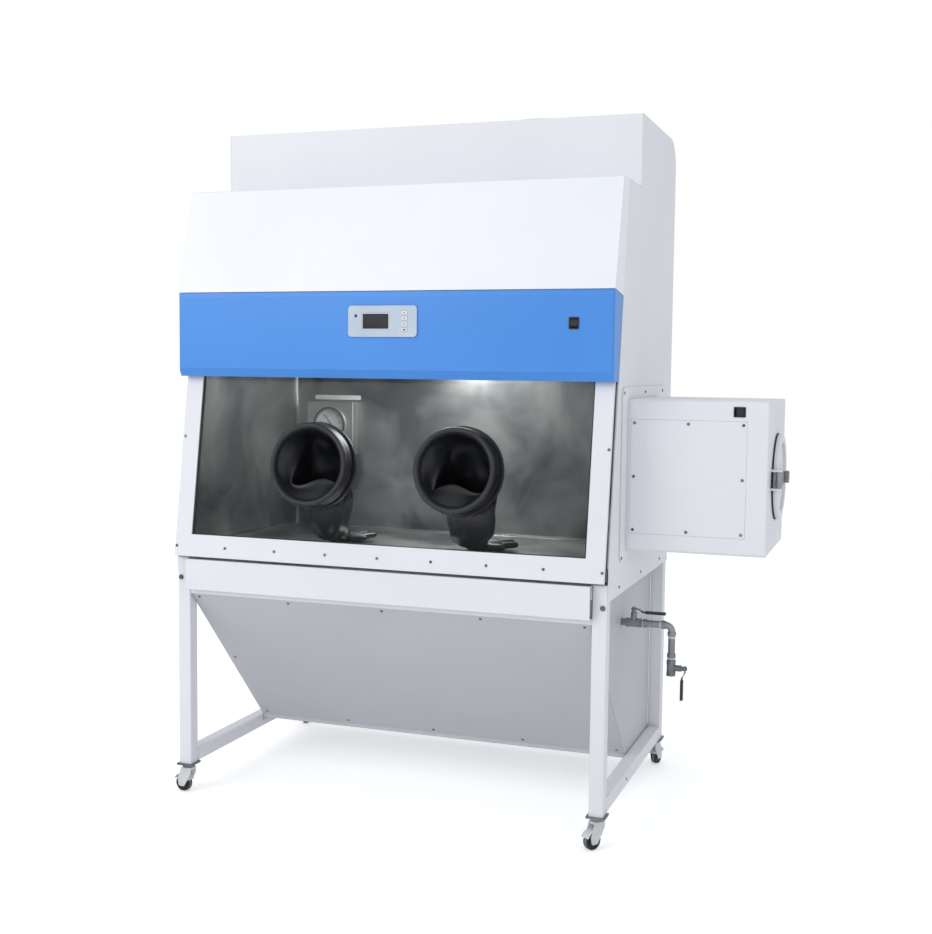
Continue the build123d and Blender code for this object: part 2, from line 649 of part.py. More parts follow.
# Outer door: a dished disc with its gasket, pressed on by a tapered arm and a screwed knob
seal_x = pass_x1 + seat
door_x = seal_x + seal_thickness + seat
seal = rod(door_radius, (seal_x, door_y, door_z), (seal_x + seal_thickness, door_y, door_z))
seal -= rod(door_opening + 2, (seal_x - 1, door_y, door_z), (door_x, door_y, door_z))
parts["outer_door_seal"] = seal
disc = rod(door_radius - 2, (door_x, door_y, door_z), (door_x + door_thickness, door_y, door_z))
disc = chamfer(disc.faces().sort_by(Axis.X)[-1].edges(), 3.0)
dish = rod(door_radius - 24, (door_x + 5, door_y, door_z), (door_x + door_thickness + 1, door_y, door_z))
dish -= rod(knob_radius + 6, (door_x, door_y, door_z), (door_x + door_thickness + 2, door_y, door_z))
screw_radius_door = 6.0
disc -= dish
screw_end = arm_x + arm_thickness / 2 + seat + knob_length * 0.6
screw_start = (door_x + door_thickness - 1, door_y, door_z)
disc += rod(screw_radius_door, screw_start, (screw_end, door_y, door_z))
parts["outer_door"] = disc

arm_face = make_face(Polyline((arm_pivot_y, arm_low), (arm_pivot_y, arm_high), (door_y, door_z + arm_width * 0.36),
                              (door_y, door_z - arm_width * 0.36), close=True))
arm = extrude(Plane.YZ.offset(arm_x - arm_thickness / 2) * arm_face, amount=arm_thickness, dir=(1, 0, 0))
arm += rod(arm_width * 0.36, (arm_x - arm_thickness / 2, door_y, door_z), (arm_x + arm_thickness / 2, door_y, door_z))
arm += rod(boss_radius - 1, (arm_x, arm_pivot_y, arm_low), (arm_x, arm_pivot_y, arm_high))
arm -= rod(pivot_radius + running, (arm_x, arm_pivot_y, arm_low - 1), (arm_x, arm_pivot_y, arm_high + 1))
arm -= rod(screw_radius_door + running, (arm_x - 20, door_y, door_z), (arm_x + 20, door_y, door_z))
parts["clamp_arm"] = arm
knob_x = arm_x + arm_thickness / 2 + seat
knob = rod(knob_radius, (knob_x, door_y, door_z), (knob_x + knob_length, door_y, door_z))
for turn in range(6):
    angle = radians(60 * turn)
    notch_y = door_y + (knob_radius + 4) * cos(angle)
    notch_z = door_z + (knob_radius + 4) * sin(angle)
    knob -= rod(7.0, (knob_x - 1, notch_y, notch_z), (knob_x + knob_length + 1, notch_y, notch_z))
knob -= rod(screw_radius_door + running, (knob_x - 1, door_y, door_z), (screw_end + seat, door_y, door_z))
parts["clamp_knob"] = knob

# Inner door on the chamber's right wall, hinged at its back edge
inner_x1 = wall_half - seat
inner_x0 = inner_x1 - inner_door_thickness
inner_door = block(inner_x0, inner_x1, inner_door_front, inner_door_back, inner_door_foot, inner_door_head)
inner_door = fillet(inner_door.edges().filter_by(Axis.X), 12.0)
inner_door -= block(inner_x0 + 3, inner_x1 + 1, inner_door_front + 90, inner_door_back - 60,
                    inner_door_foot + 45, inner_door_head - 60)
for foot in knuckle_feet:
    inner_door += block(inner_x0, hinge_x, inner_door_back - 4, hinge_y, foot, foot + knuckle_length)
    inner_door += rod(hinge_knuckle, (hinge_x, hinge_y, foot), (hinge_x, hinge_y, foot + knuckle_length))
    inner_door -= rod(hinge_pin + running, (hinge_x, hinge_y, foot - 1), (hinge_x, hinge_y, foot + knuckle_length + 1))
handle_y = inner_door_front + 34
handle_shaft = 4.0
shaft_depth = 5.0
shaft_end = inner_x0 + shaft_depth
inner_door -= rod(handle_shaft + running, (inner_x0 - 1, handle_y, handle_z), (shaft_end + seat, handle_y, handle_z))
parts["inner_door"] = inner_door
grip_x0 = inner_x0 - 22
handle = rod(handle_shaft, (inner_x0 - 12, handle_y, handle_z), (shaft_end, handle_y, handle_z))
handle += rod(9.0, (inner_x0 - 14, handle_y, handle_z), (inner_x0 - seat, handle_y, handle_z))
grip = block(grip_x0, inner_x0 - 13, handle_y - 7, handle_y + 7, handle_z - handle_length / 2, handle_z + handle_length / 2)
handle += fillet(grip.edges(), 3.0)
parts["inner_door_handle"] = handle

# Pressure gauge in its box on the back wall
gauge_front = chamber_back - seat - gauge_box_depth
gauge_box = block(gauge_box_x - gauge_box_width / 2, gauge_box_x + gauge_box_width / 2, gauge_front, chamber_back - seat,
                  gauge_box_foot, gauge_box_foot + gauge_box_height)
gauge_box = fillet(gauge_box.faces().sort_by(Axis.Y)[0].edges(), 3.0)
rim_front = gauge_front - 7
gauge_box += rod(gauge_radius, (gauge_box_x, gauge_front + 1, gauge_z), (gauge_box_x, rim_front, gauge_z))
gauge_box -= rod(dial_radius, (gauge_box_x, gauge_front + dial_recess, gauge_z), (gauge_box_x, rim_front - 1, gauge_z))
dial_face = gauge_front + dial_recess
gauge_box += rod(needle_pin, (gauge_box_x, dial_face + 1, gauge_z), (gauge_box_x, dial_face - 6, gauge_z))
parts["gauge_box"] = gauge_box
parts["gauge_glass"] = rod(dial_radius - seat, (gauge_box_x, rim_front + 3, gauge_z), (gauge_box_x, rim_front + 1, gauge_z))
needle_rest = 35.0
needle_face = make_face(Plane.XZ * Polyline((-2.4, -9), (2.4, -9), (0.8, needle_length), (-0.8, needle_length), close=True))
needle = extrude(needle_face, amount=1.2) + rod(4.5, (0, 0, 0), (0, -3, 0))
needle -= rod(needle_pin + running, (0, 1, 0), (0, -5, 0))
parts["gauge_needle"] = Pos(gauge_box_x, dial_face - seat, gauge_z) * Rot(0, -needle_rest, 0) * needle

# Drain: a sump pipe under the chamber, a valve outside the side sheet, and a drop to a second valve


def bent_pipe(points, radius, bend):
    """A pipe of straight runs joined by round elbows."""
    path = FilletPolyline(*points, radius=bend)
    return sweep(path.location_at(0) * Circle(radius), path=path)


sump_top = chamber_floor - sheet - seat
valve_end = valve_x + valve_length
inner_pipe = bent_pipe([(sump_x, drain_y, sump_top), (sump_x, drain_y, drain_z), (valve_x - seat, drain_y, drain_z)],
                       drain_pipe, elbow_radius)
outer_pipe = bent_pipe([(valve_end + seat, drain_y, drain_z), (drop_x, drain_y, drain_z),
                        (drop_x, drain_y, lower_valve_top + seat)], drain_pipe, elbow_radius)
socket = drain_pipe + 2.5
for x0, x1 in ((valve_end + 6, valve_end + 16), (drop_x - elbow_radius - 10, drop_x - elbow_radius)):
    outer_pipe += rod(socket, (x0, drain_y, drain_z), (x1, drain_y, drain_z))
for z0, z1 in ((drain_z - elbow_radius - 10, drain_z - elbow_radius), (lower_valve_top + 8, lower_valve_top + 18)):
    outer_pipe += rod(socket, (drop_x, drain_y, z0), (drop_x, drain_y, z1))
parts["drain_pipes"] = group([inner_pipe, outer_pipe])


bonnet_top = 38.0
valve_bore = 7.0


def ball_valve():
    """A ball valve that runs along X from the origin, with its stem up."""
    body = rod(valve_radius, (0, 0, 0), (valve_length, 0, 0))
    for x0 in (0, valve_length - 11):
        hexagon = Plane.YZ.offset(x0) * RegularPolygon(valve_radius + 1.5, 6)
        body += extrude(hexagon, amount=11)
    middle = valve_length / 2
    body += rod(9.0, (middle, 0, 0), (middle, 0, bonnet_top - 8))
    body += rod(6.5, (middle, 0, 0), (middle, 0, bonnet_top))
    body += rod(stem_radius, (middle, 0, 0), (middle, 0, bonnet_top + 8))
    nut_foot = bonnet_top + seat + lever_thickness + seat
    body += rod(6.0, (middle, 0, nut_foot), (middle, 0, nut_foot + 4))
    return body


def valve_lever():
    """A cranked flat lever with a dipped grip, lying along X from the valve's middle."""
    low = bonnet_top + seat
    drop = 8.0
    end = lever_length - 8
    line = [(-8, low), (14, low), (26, low - drop), (end, low - drop)]
    strip = make_face(offset(FilletPolyline(*line, radius=3.5), lever_thickness, side=Side.LEFT))
    strip = Plane.XZ.offset(-lever_width / 2) * strip
    lever = extrude(strip, amount=lever_width)
    grip_face = RectangleRounded(lever_width + 3, lever_thickness + 5, 3.5)
    grip_plane = Plane(origin=(34, 0, low - drop + lever_thickness / 2), z_dir=(1, 0, 0), x_dir=(0, 1, 0))
    lever += extrude(grip_plane * grip_face, amount=lever_length - 40)
    lever -= rod(stem_radius + running, (0, 0, low - 5), (0, 0, low + 10))
    return Pos(valve_length / 2, 0, 0) * lever


upper_place = Pos(valve_x, drain_y, drain_z)
lower_place = Pos(drop_x, drain_y, lower_valve_top) * Rot(0, 90, 0)
lower_valve = lower_place * ball_valve()
lower_valve -= rod(valve_bore, (drop_x, drain_y, lower_valve_top - valve_length - 1),
                   (drop_x, drain_y, lower_valve_top - valve_length + 20))
parts["drain_valves"] = group([upper_place * ball_valve(), lower_valve])
parts["upper_drain_lever"] = upper_place * valve_lever()
parts["lower_drain_lever"] = lower_place * valve_lever()

# Casters: top plate with race and king pin, shrouded fork with axle, wheel with a grooved tread
caster_names = ("front_left", "front_right", "rear_left", "rear_right")
caster_turns = (171.0, 238.0, 120.0, 77.0)
fork_top = caster_height - seat - plate_thickness - 10 - seat
crown = 7.0
fork_inside = wheel_width / 2 + 1.2
fork_outside = fork_inside + fork_cheek


def caster_plate():
    """The plate under a leg, with the ball race and the king pin that holds the fork."""
    top = caster_height - seat
    plate = Pos(0, 0, top - plate_thickness / 2) * Box(plate_size, plate_size, plate_thickness)
    plate = fillet(plate.edges().filter_by(Axis.Z), 5.0)
    plate += rod(race_radius, (0, 0, fork_top + seat), (0, 0, top - plate_thickness))
    return plate + rod(king_pin, (0, 0, fork_top - crown), (0, 0, top - plate_thickness))


def caster_fork():
    """A fork whose cheeks hang from a crown, with a shroud over the wheel and the axle across."""
    axle_z = wheel_radius
    cheek_line = [(-race_radius + 1, fork_top), (race_radius - 1, fork_top), (caster_trail + 15, axle_z + 14),
                  (caster_trail + 11, axle_z - 9), (caster_trail - 9, axle_z - 9), (-race_radius + 2, axle_z + 32)]
    cheek_face = make_face(Polyline(*cheek_line, close=True))
    cheek_face = fillet(cheek_face.vertices().sort_by(Axis.Y)[:4], 6.0)
    cheek = extrude(Plane.XZ.offset(fork_inside) * cheek_face, amount=fork_cheek)
    fork = cheek + mirror(cheek, about=Plane.XZ)
    fork += block(-race_radius + 1, race_radius - 1, -fork_outside, fork_outside, fork_top - crown, fork_top)
    shroud_in = wheel_radius + 2.5
    hub = (caster_trail, axle_z)
    shroud = rod(shroud_in + 2.5, (hub[0], -fork_outside, hub[1]), (hub[0], fork_outside, hub[1]))
    shroud -= rod(shroud_in, (hub[0], -50, hub[1]), (hub[0], 50, hub[1]))
    shroud &= block(-50, 100, -50, 50, axle_z + 12, fork_top)
    fork += shroud
    fork -= rod(king_pin + running, (0, 0, fork_top - crown - 1), (0, 0, fork_top + 1))
    return fork + rod(axle_radius, (hub[0], -fork_outside, hub[1]), (hub[0], fork_outside, hub[1]))


def caster_wheel():
    """A wheel with a rounded tread and dished faces, turned about its axle."""
    half = wheel_width / 2
    profile = Polyline((axle_radius + running, -half), (9, -half), (11, -half + 3), (wheel_radius - 7, -half + 3),
                       (wheel_radius - 4, -half), (wheel_radius - 1.5, -half), (wheel_radius, -half + 3),
                       (wheel_radius, half - 3), (wheel_radius - 1.5, half), (wheel_radius - 4, half),
                       (wheel_radius - 7, half - 3), (11, half - 3), (9, half), (axle_radius + running, half), close=True)
    wheel = revolve(make_face(Plane.XZ * profile), Axis.Z)
    return Pos(caster_trail, 0, wheel_radius) * Rot(90, 0, 0) * wheel


parts["caster_plates"] = group(Pos(x, y, 0) * caster_plate() for x, y in leg_places)
for name, turn, (x, y) in zip(caster_names, caster_turns, leg_places):
    place = Pos(x, y, 0) * Rot(0, 0, turn)
    parts[name + "_fork"] = place * caster_fork()
    parts[name + "_wheel"] = place * caster_wheel()

# Filters stand on the chamber's ceiling, with the fan above the exhaust side


def filter_box(x0, x1, z0):
    """A framed filter: a box with a shallow recess over its pleats above and below."""
    z1 = z0 + filter_height
    body = block(x0, x1, filter_front, filter_front + filter_depth, z0, z1)
    for low in (z0 - 1, z1 - 9):
        body -= block(x0 + 20, x1 - 20, filter_front + 20, filter_front + filter_depth - 20, low, low + 10)
    return body


filter_foot = chamber_ceiling + sheet + seat
upper_filter = filter_foot + filter_height + seat
parts["filters"] = group([filter_box(filter_left, filter_right, filter_foot),
                          filter_box(exhaust_left, exhaust_right, filter_foot),
                          filter_box(exhaust_left, exhaust_right, upper_filter)])

# Fan: a scroll housing that stands on the exhaust filters and blows up into the collar
fan_front = fan_y - housing_width / 2
fan_back = fan_y + housing_width / 2
duct_half = collar_radius * 0.66
duct_top = rear_box_top - sheet - seat
filter_top = upper_filter + filter_height
scroll = rod(housing_radius, (fan_x, fan_front, fan_z), (fan_x, fan_back, fan_z))
scroll += block(fan_x - duct_half, fan_x + duct_half, fan_front, fan_back, fan_z, duct_top)
scroll += block(fan_x - housing_radius, fan_x + housing_radius, fan_front, fan_back - 60, filter_top + seat, filter_top + 6)
scroll += block(fan_x - 70, fan_x + 70, fan_front, fan_back - 60, filter_top + seat, fan_z - housing_radius * 0.7)
inner_front = fan_front + housing_wall
inner_back = fan_back - housing_wall
scroll -= rod(housing_radius - housing_wall, (fan_x, inner_front, fan_z), (fan_x, inner_back, fan_z))
scroll -= block(fan_x - duct_half + housing_wall, fan_x + duct_half - housing_wall, inner_front, inner_back,
                fan_z, duct_top + 1)
scroll -= rod(fan_radius * 0.6, (fan_x, fan_front - 1, fan_z), (fan_x, inner_front + 1, fan_z))
scroll -= rod(shaft_radius + 4, (fan_x, inner_back - 1, fan_z), (fan_x, fan_back + 1, fan_z))
parts["fan_housing"] = scroll
motor_front = fan_back + seat
motor = rod(motor_radius, (fan_x, motor_front, fan_z), (fan_x, motor_front + motor_length, fan_z))
motor -= rod(shaft_radius + running, (fan_x, motor_front - 1, fan_z), (fan_x, motor_front + 40, fan_z))
parts["fan_motor"] = motor
wheel_front = fan_y - fan_width / 2
wheel_back = fan_y + fan_width / 2
fan = rod(fan_radius, (fan_x, wheel_back - 3, fan_z), (fan_x, wheel_back, fan_z))
fan += rod(fan_radius, (fan_x, wheel_front, fan_z), (fan_x, wheel_front + 3, fan_z))
fan -= rod(fan_radius - 22, (fan_x, wheel_front - 1, fan_z), (fan_x, wheel_front + 4, fan_z))
for blade in range(fan_blades):
    vane = block(fan_radius - 20, fan_radius - 1, wheel_front + 1, wheel_back - 1, -1, 1)
    fan += Pos(fan_x, 0, fan_z) * Rot(0, blade * 360 / fan_blades, 0) * vane
fan += rod(18.0, (fan_x, wheel_front + 20, fan_z), (fan_x, wheel_back, fan_z))
fan += rod(shaft_radius, (fan_x, wheel_front + 10, fan_z), (fan_x, motor_front + 40 - seat, fan_z))
parts["fan_wheel"] = fan

# Lamp under the chamber's ceiling, behind the fascia
lamp_y = lean_y(chamber_ceiling, flange_depth1) + 45
lamp_z = chamber_ceiling - seat - 12 - lamp_radius - 6
lamp = rod(lamp_radius, (-lamp_length / 2, lamp_y, lamp_z), (lamp_length / 2, lamp_y, lamp_z))
for side in (-1, 1):
    end = side * (lamp_length / 2 + 8)
    lamp += block(end - 8, end + 8, lamp_y - 16, lamp_y + 16, lamp_z - 16, chamber_ceiling - seat)
parts["lamp"] = lamp

# Screws: one head each, seated on the face that it holds


def head_on(point, outward, radius, height):
    """A low round head that sits on a point and faces outward."""
    start = Vector(*point)
    out = Vector(*outward).normalized()
    plane = Plane(origin=start, z_dir=out)
    foot = extrude(plane * Circle(radius), amount=height)
    return chamfer(foot.faces().sort_by(Axis(start, out))[-1].edges(), height * 0.45)


window_out = (0, -cos(lean), sin(lean))
kick_out = (0, -(kick_top - kick_foot), -kick_run)
screws = []
frame_screw_x = frame_half - 6
for step in range(9):
    x = -frame_screw_x + step * frame_screw_x / 4
    screws.append(((x, lean_y(frame_foot + 29), frame_foot + 29), window_out))
for side in (-1, 1):
    z = frame_foot + frame_side_screw
    screws.append(((side * frame_screw_x, lean_y(z), z), window_out))


def kick_point(x, share):
    """A point on the kick panel's face, this share of the way down its slope."""
    return (x, kick_front + share * kick_run, kick_top - share * (kick_top - kick_foot))


for step in range(5):
    x = (step - 2) * (kick_half - 20) / 2
    screws.append((kick_point(x, 0.02), kick_out))
    screws.append((kick_point(x, 0.972), kick_out))
for side in (-1, 1):
    screws.append((kick_point(side * (kick_half - 20), 0.497), kick_out))
    for step in (-1, 0, 1):
        y = body_depth / 2 + step * side_screw_pitch
        screws.append(((side * half_width, y, panel_foot + 22), (side, 0, 0)))
    screws.append(((side * leg_outer, 285.0, low_z), (side, 0, 0)))
for x in (cover_front_x + 10, cover_front_x + cover_width / 2, cover_x1 - 10):
    for z in (cover_foot + 10, cover_foot + cover_width / 2, cover_head - 10):
        if (x, z) != (cover_front_x + cover_width / 2, cover_foot + cover_width / 2):
            screws.append(((x, pass_front, z), (0, -1, 0)))
for y in (flange_front + 16, (flange_front + flange_back) / 2, flange_back - 33):
    for z in (flange_foot + 11, flange_head - 16):
        screws.append(((pass_x0 + 3, y, z), (1, 0, 0)))
for step in range(4):
    x = (step - 1.5) * (cover_half - 20) / 1.5
    for z in (leg_top + 30, corner_foot - 30):
        screws.append(((x, body_depth, z), (0, 1, 0)))
bolt_x = leg_outer - 11
heads = [head_on(point, out, screw_radius, screw_head) for point, out in screws]
heads += [head_on((side * bolt_x, 0, apron_top - 59), (0, -1, 0), bolt_radius, bolt_head) for side in (-1, 1)]
parts["screws_and_bolts"] = group(heads)

# The origin moves to the middle of the bottom of the whole object's box
boxes = [piece.bounding_box() for piece in parts.values()]
low = [min(getattr(box.min, axis) for box in boxes) for axis in "XYZ"]
high = [max(getattr(box.max, axis) for box in boxes) for axis in "XYZ"]
shift = (-(low[0] + high[0]) / 2, -(low[1] + high[1]) / 2, -low[2])
os.makedirs("parts", exist_ok=True)
for name, piece in parts.items():
    parts[name] = Pos(*shift) * piece
    export_step(parts[name], "parts/" + name + ".step")
print(len(parts), "nodes; the model moved by", shift)
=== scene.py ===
# %% [markdown]
# A class III biosafety cabinet is a sealed steel box with a leaning window. A person works in it only
# through two rubber gauntlets, and things go in and out through the pass box on its right side.
# The construction is already there as a fixed frame. This file gives every piece its finish, and makes
# the soft and small pieces that a maker of sheet metal would leave to others: the gauntlets, the
# rubber cuffs, the gauge's dial, the marks on the keys, the window's bead and the tape on the threads.

# %% Tools and the frame
import json

import bpy
import numpy as np
from mathutils import Matrix, Vector


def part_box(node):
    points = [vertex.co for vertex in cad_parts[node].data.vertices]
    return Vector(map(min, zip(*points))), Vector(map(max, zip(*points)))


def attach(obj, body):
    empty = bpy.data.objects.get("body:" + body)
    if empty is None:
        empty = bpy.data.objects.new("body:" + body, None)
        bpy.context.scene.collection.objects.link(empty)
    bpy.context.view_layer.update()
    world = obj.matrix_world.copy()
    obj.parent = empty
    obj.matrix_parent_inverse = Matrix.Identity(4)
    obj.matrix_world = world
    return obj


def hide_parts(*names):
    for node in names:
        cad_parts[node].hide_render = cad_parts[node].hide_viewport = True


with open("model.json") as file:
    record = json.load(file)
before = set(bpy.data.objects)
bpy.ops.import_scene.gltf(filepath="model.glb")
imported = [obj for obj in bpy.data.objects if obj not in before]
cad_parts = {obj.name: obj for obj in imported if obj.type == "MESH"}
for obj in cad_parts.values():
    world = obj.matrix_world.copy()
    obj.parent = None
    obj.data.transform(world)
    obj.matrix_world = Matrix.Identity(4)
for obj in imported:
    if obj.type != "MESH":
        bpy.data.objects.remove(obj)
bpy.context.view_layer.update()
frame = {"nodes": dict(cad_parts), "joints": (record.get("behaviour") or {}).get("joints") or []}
nodes = frame["nodes"]

# %% [markdown]
# The photograph was taken from the right, a little above the middle of the cabinet. Its perspective was
# worked out from the straight edges of the cabinet, so the camera has a place in metres from the middle
# of the front legs, and three angles. The legs give that middle, so the camera follows the frame.

# %% Camera at the photograph's angle
legs_low, legs_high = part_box("legs")
middle = Vector(((legs_low.x + legs_high.x) / 2, legs_low.y, 0.0))
camera_offset = Vector((1.4023, -3.2420, 1.2815))
yaw, pitch, roll = np.radians((19.541, -4.499, 0.637))
focal_pixels = 1277.67
frame_pixels = 934.0
sensor_mm = 36.0

ahead = Vector((-np.sin(yaw) * np.cos(pitch), np.cos(yaw) * np.cos(pitch), np.sin(pitch)))
right = ahead.cross(Vector((0, 0, 1))).normalized()
up = right.cross(ahead)
tilted_right = right * np.cos(roll) + up * np.sin(roll)
tilted_up = up * np.cos(roll) - right * np.sin(roll)
camera_data = bpy.data.cameras.new("camera")
camera_data.sensor_width = sensor_mm
camera_data.lens = focal_pixels / frame_pixels * sensor_mm
camera_data.clip_end = 50
camera = bpy.data.objects.new("camera", camera_data)
turn = Matrix((tilted_right, tilted_up, -ahead)).transposed().to_4x4()
camera.matrix_world = Matrix.Translation(middle + camera_offset) @ turn
bpy.context.scene.collection.objects.link(camera)
bpy.context.scene.camera = camera
bpy.context.scene.view_settings.view_transform = "Standard"
print("lens:", round(camera_data.lens, 2), "mm")

# %% [markdown]
# Colours are written as the hex values that a person sees and turned to linear light by one function.
# Another small function adds a shader node with its settings, values and links. A length in
# millimetres becomes a texture scale by how many times it fits into a metre.

# %% Helpers for materials


def linear(code, alpha=1.0):
    """A hex colour as linear red, green, blue and alpha: sRGB's curve undone for each channel."""
    value = np.array([int(code[i:i + 2], 16) for i in (1, 3, 5)]) / 255
    value = np.where(value <= 0.04045, value / 12.92, ((value + 0.055) / 1.055) ** 2.4)
    return (*value, alpha)


def per_metre(mm):
    """The texture scale at which one feature is this many millimetres wide."""
    return 1000.0 / mm


def put(tree, kind, values=None, links=None, **settings):
    """Adds a node: settings are its own properties, values its sockets, links the outputs that feed it."""
    made = tree.nodes.new(kind)
    for name, value in settings.items():
        setattr(made, name, value)
    for name, value in (values or {}).items():
        made.inputs[name].default_value = value
    for name, source in (links or {}).items():
        tree.links.new(source, made.inputs[name])
    return made


def start_material(name):
    """A new material with its tree, its principled shader and the Object coordinates."""
    material = bpy.data.materials.new(name)
    material.use_nodes = True
    tree = material.node_tree
    shader = tree.nodes["Principled BSDF"]
    place = put(tree, "ShaderNodeTexCoord").outputs["Object"]
    return material, tree, shader, place


def ramp_colours(ramp, stops):
    """Sets a colour ramp's stops from (position, hex colour) pairs."""
    band = ramp.color_ramp
    for index, (position, code) in enumerate(stops):
        stop = band.elements[index] if index < 2 else band.elements.new(position)
        stop.position = position
        stop.color = linear(code)


# %% [markdown]
# Most of the cabinet is steel sheet with a baked powder coat. Powder flows into a skin with a faint
# orange peel, a few millimetres from crest to crest, so reflections stay soft. Bent edges are rounded by
# about a millimetre, the seams are darkened with painted shade, and the white is never quite even over a
# large sheet.

# %% Powder coat on steel


def powder_coat(name, colour, cloud_and_shade_colour, roughness, peel_mm=2.2, edge_mm=1.2):
    """Satin paint: broad cloudy tint, painted shade in the seams where surfaces meet, orange peel and round
    edges.
    """
    material, tree, shader, place = start_material(name)
    clouds = put(tree, "ShaderNodeTexNoise", {"Scale": per_metre(420), "Detail": 3.0}, {"Vector": place})
    tint = put(tree, "ShaderNodeMixRGB", {"Color1": linear(colour), "Color2": linear(cloud_and_shade_colour)})
    soft = put(tree, "ShaderNodeMapRange", {"From Min": 0.35, "From Max": 0.75, "To Max": 0.10},
               {"Value": clouds.outputs["Fac"]})
    tree.links.new(soft.outputs["Result"], tint.inputs["Fac"])
    # painted shade: ambient occlusion darkens the colour in seams and corners where surfaces meet
    seam = put(tree, "ShaderNodeAmbientOcclusion", {"Distance": 0.022}, samples=6)
    shade = put(tree, "ShaderNodeMapRange",
                {"From Min": 0.25, "From Max": 0.85, "To Min": 0.55, "To Max": 0.0},
                {"Value": seam.outputs["AO"]})
    seam_shaded = put(tree, "ShaderNodeMixRGB", {"Color2": linear(cloud_and_shade_colour)},
                {"Fac": shade.outputs["Result"], "Color1": tint.outputs["Color"]})
    peel = put(tree, "ShaderNodeTexNoise", {"Scale": per_metre(peel_mm), "Detail": 1.5}, {"Vector": place})
    round_edge = put(tree, "ShaderNodeBevel", {"Radius": edge_mm / 1000}, samples=4)
    bump = put(tree, "ShaderNodeBump", {"Strength": 0.10, "Distance": 0.0006},
               {"Height": peel.outputs["Fac"], "Normal": round_edge.outputs["Normal"]})
    smear = put(tree, "ShaderNodeMapRange", {"To Min": roughness - 0.05, "To Max": roughness + 0.08},
                {"Value": clouds.outputs["Fac"]})
    tree.links.new(seam_shaded.outputs["Color"], shader.inputs["Base Color"])
    tree.links.new(smear.outputs["Result"], shader.inputs["Roughness"])
    tree.links.new(bump.outputs["Normal"], shader.inputs["Normal"])
    return material


white_coat = powder_coat("white_powder_coat", "#E9EAEE", "#A9ABAF", 0.42)
# painted highlight: the hood gets a brighter copy of the white coat because it faces the key lamp
lit_hood_coat = powder_coat("hood_coat_painted_highlight", "#F2F4FA", "#B4B7BE", 0.34)
# painted shade: a darker grey copy of the white coat, used on the kick panel, the side sheets and the parts
# beneath and inside that lie in shade
shaded_white_coat = powder_coat("white_coat_painted_shade", "#C3C5C9", "#85878B", 0.45)
blue_coat = powder_coat("blue_powder_coat", "#4690E4", "#1B4C8C", 0.33)

# %% [markdown]
# The chamber is welded from stainless sheet with a brushed finish. Brushing leaves fine scratches that
# all run one way, so the sheet is rough across them and its reflections are drawn out. A noise that is
# stretched a hundredfold along the brushing gives both the streaks and the change in roughness.

# %% Brushed stainless sheet


def brushed_stainless(name, colour, streak, roughness, across_mm=1.2, along_mm=160.0):
    """Metal with long streaks along X, cloudy where it was wiped."""
    material, tree, shader, place = start_material(name)
    drawn = put(tree, "ShaderNodeMapping", {"Scale": (across_mm / along_mm, 1.0, 1.0)}, {"Vector": place})
    streaks = put(tree, "ShaderNodeTexNoise", {"Scale": per_metre(across_mm), "Detail": 3.0},
                  {"Vector": drawn.outputs["Vector"]})
    wipes = put(tree, "ShaderNodeTexNoise", {"Scale": per_metre(260), "Detail": 4.0, "Distortion": 0.6},
                {"Vector": place})
    ramp = put(tree, "ShaderNodeValToRGB", links={"Fac": wipes.outputs["Fac"]})
    ramp_colours(ramp, [(0.38, streak), (0.62, colour)])
    rough = put(tree, "ShaderNodeMapRange", {"To Min": roughness - 0.10, "To Max": roughness + 0.14},
                {"Value": streaks.outputs["Fac"]})
    edge = put(tree, "ShaderNodeBevel", {"Radius": 0.001}, samples=4)
    bump = put(tree, "ShaderNodeBump", {"Strength": 0.05, "Distance": 0.0003},
               {"Height": streaks.outputs["Fac"], "Normal": edge.outputs["Normal"]})
    shader.inputs["Metallic"].default_value = 1.0
    tree.links.new(ramp.outputs["Color"], shader.inputs["Base Color"])
    tree.links.new(rough.outputs["Result"], shader.inputs["Roughness"])
    tree.links.new(bump.outputs["Normal"], shader.inputs["Normal"])
    return material


chamber_steel = brushed_stainless("brushed_stainless_sheet", "#B3B6B4", "#6A6F71", 0.33)
gauge_steel = brushed_stainless("satin_stainless_case", "#D3D5D3", "#B4B7B6", 0.45)
fitting_steel = brushed_stainless("cast_stainless_fitting", "#B0B3B4", "#7E8183", 0.40,
                                  across_mm=0.8, along_mm=6.0)
zinc_steel = brushed_stainless("dull_zinc_plated_steel", "#96989A", "#606264", 0.45,
                               across_mm=0.5, along_mm=3.0)

# %% [markdown]
# Rubber is black right through, but its skin scatters a little light and shows dust in its folds.
# Moulded plastic is smoother, with a fine spark texture. Both are dielectrics, so their index of
# refraction is near 1.5, and only the colour, the roughness and the grain differ.

# %% Rubber and moulded plastic


def moulded(name, colour, worn, roughness, grain_mm, grain=0.25, edge_mm=0.8):
    """A moulded skin: two close tints in broad patches, a fine grain as bump, and rounded edges."""
    material, tree, shader, place = start_material(name)
    patches = put(tree, "ShaderNodeTexNoise", {"Scale": per_metre(60), "Detail": 5.0}, {"Vector": place})
    ramp = put(tree, "ShaderNodeValToRGB", links={"Fac": patches.outputs["Fac"]})
    ramp_colours(ramp, [(0.35, colour), (0.80, worn)])
    skin = put(tree, "ShaderNodeTexNoise", {"Scale": per_metre(grain_mm), "Detail": 2.0}, {"Vector": place})
    edge = put(tree, "ShaderNodeBevel", {"Radius": edge_mm / 1000}, samples=4)
    bump = put(tree, "ShaderNodeBump", {"Strength": grain, "Distance": 0.0004},
               {"Height": skin.outputs["Fac"], "Normal": edge.outputs["Normal"]})
    gloss = put(tree, "ShaderNodeMapRange", {"To Min": roughness - 0.06, "To Max": roughness + 0.10},
                {"Value": patches.outputs["Fac"]})
    tree.links.new(ramp.outputs["Color"], shader.inputs["Base Color"])
    tree.links.new(gloss.outputs["Result"], shader.inputs["Roughness"])
    tree.links.new(bump.outputs["Normal"], shader.inputs["Normal"])
    return material


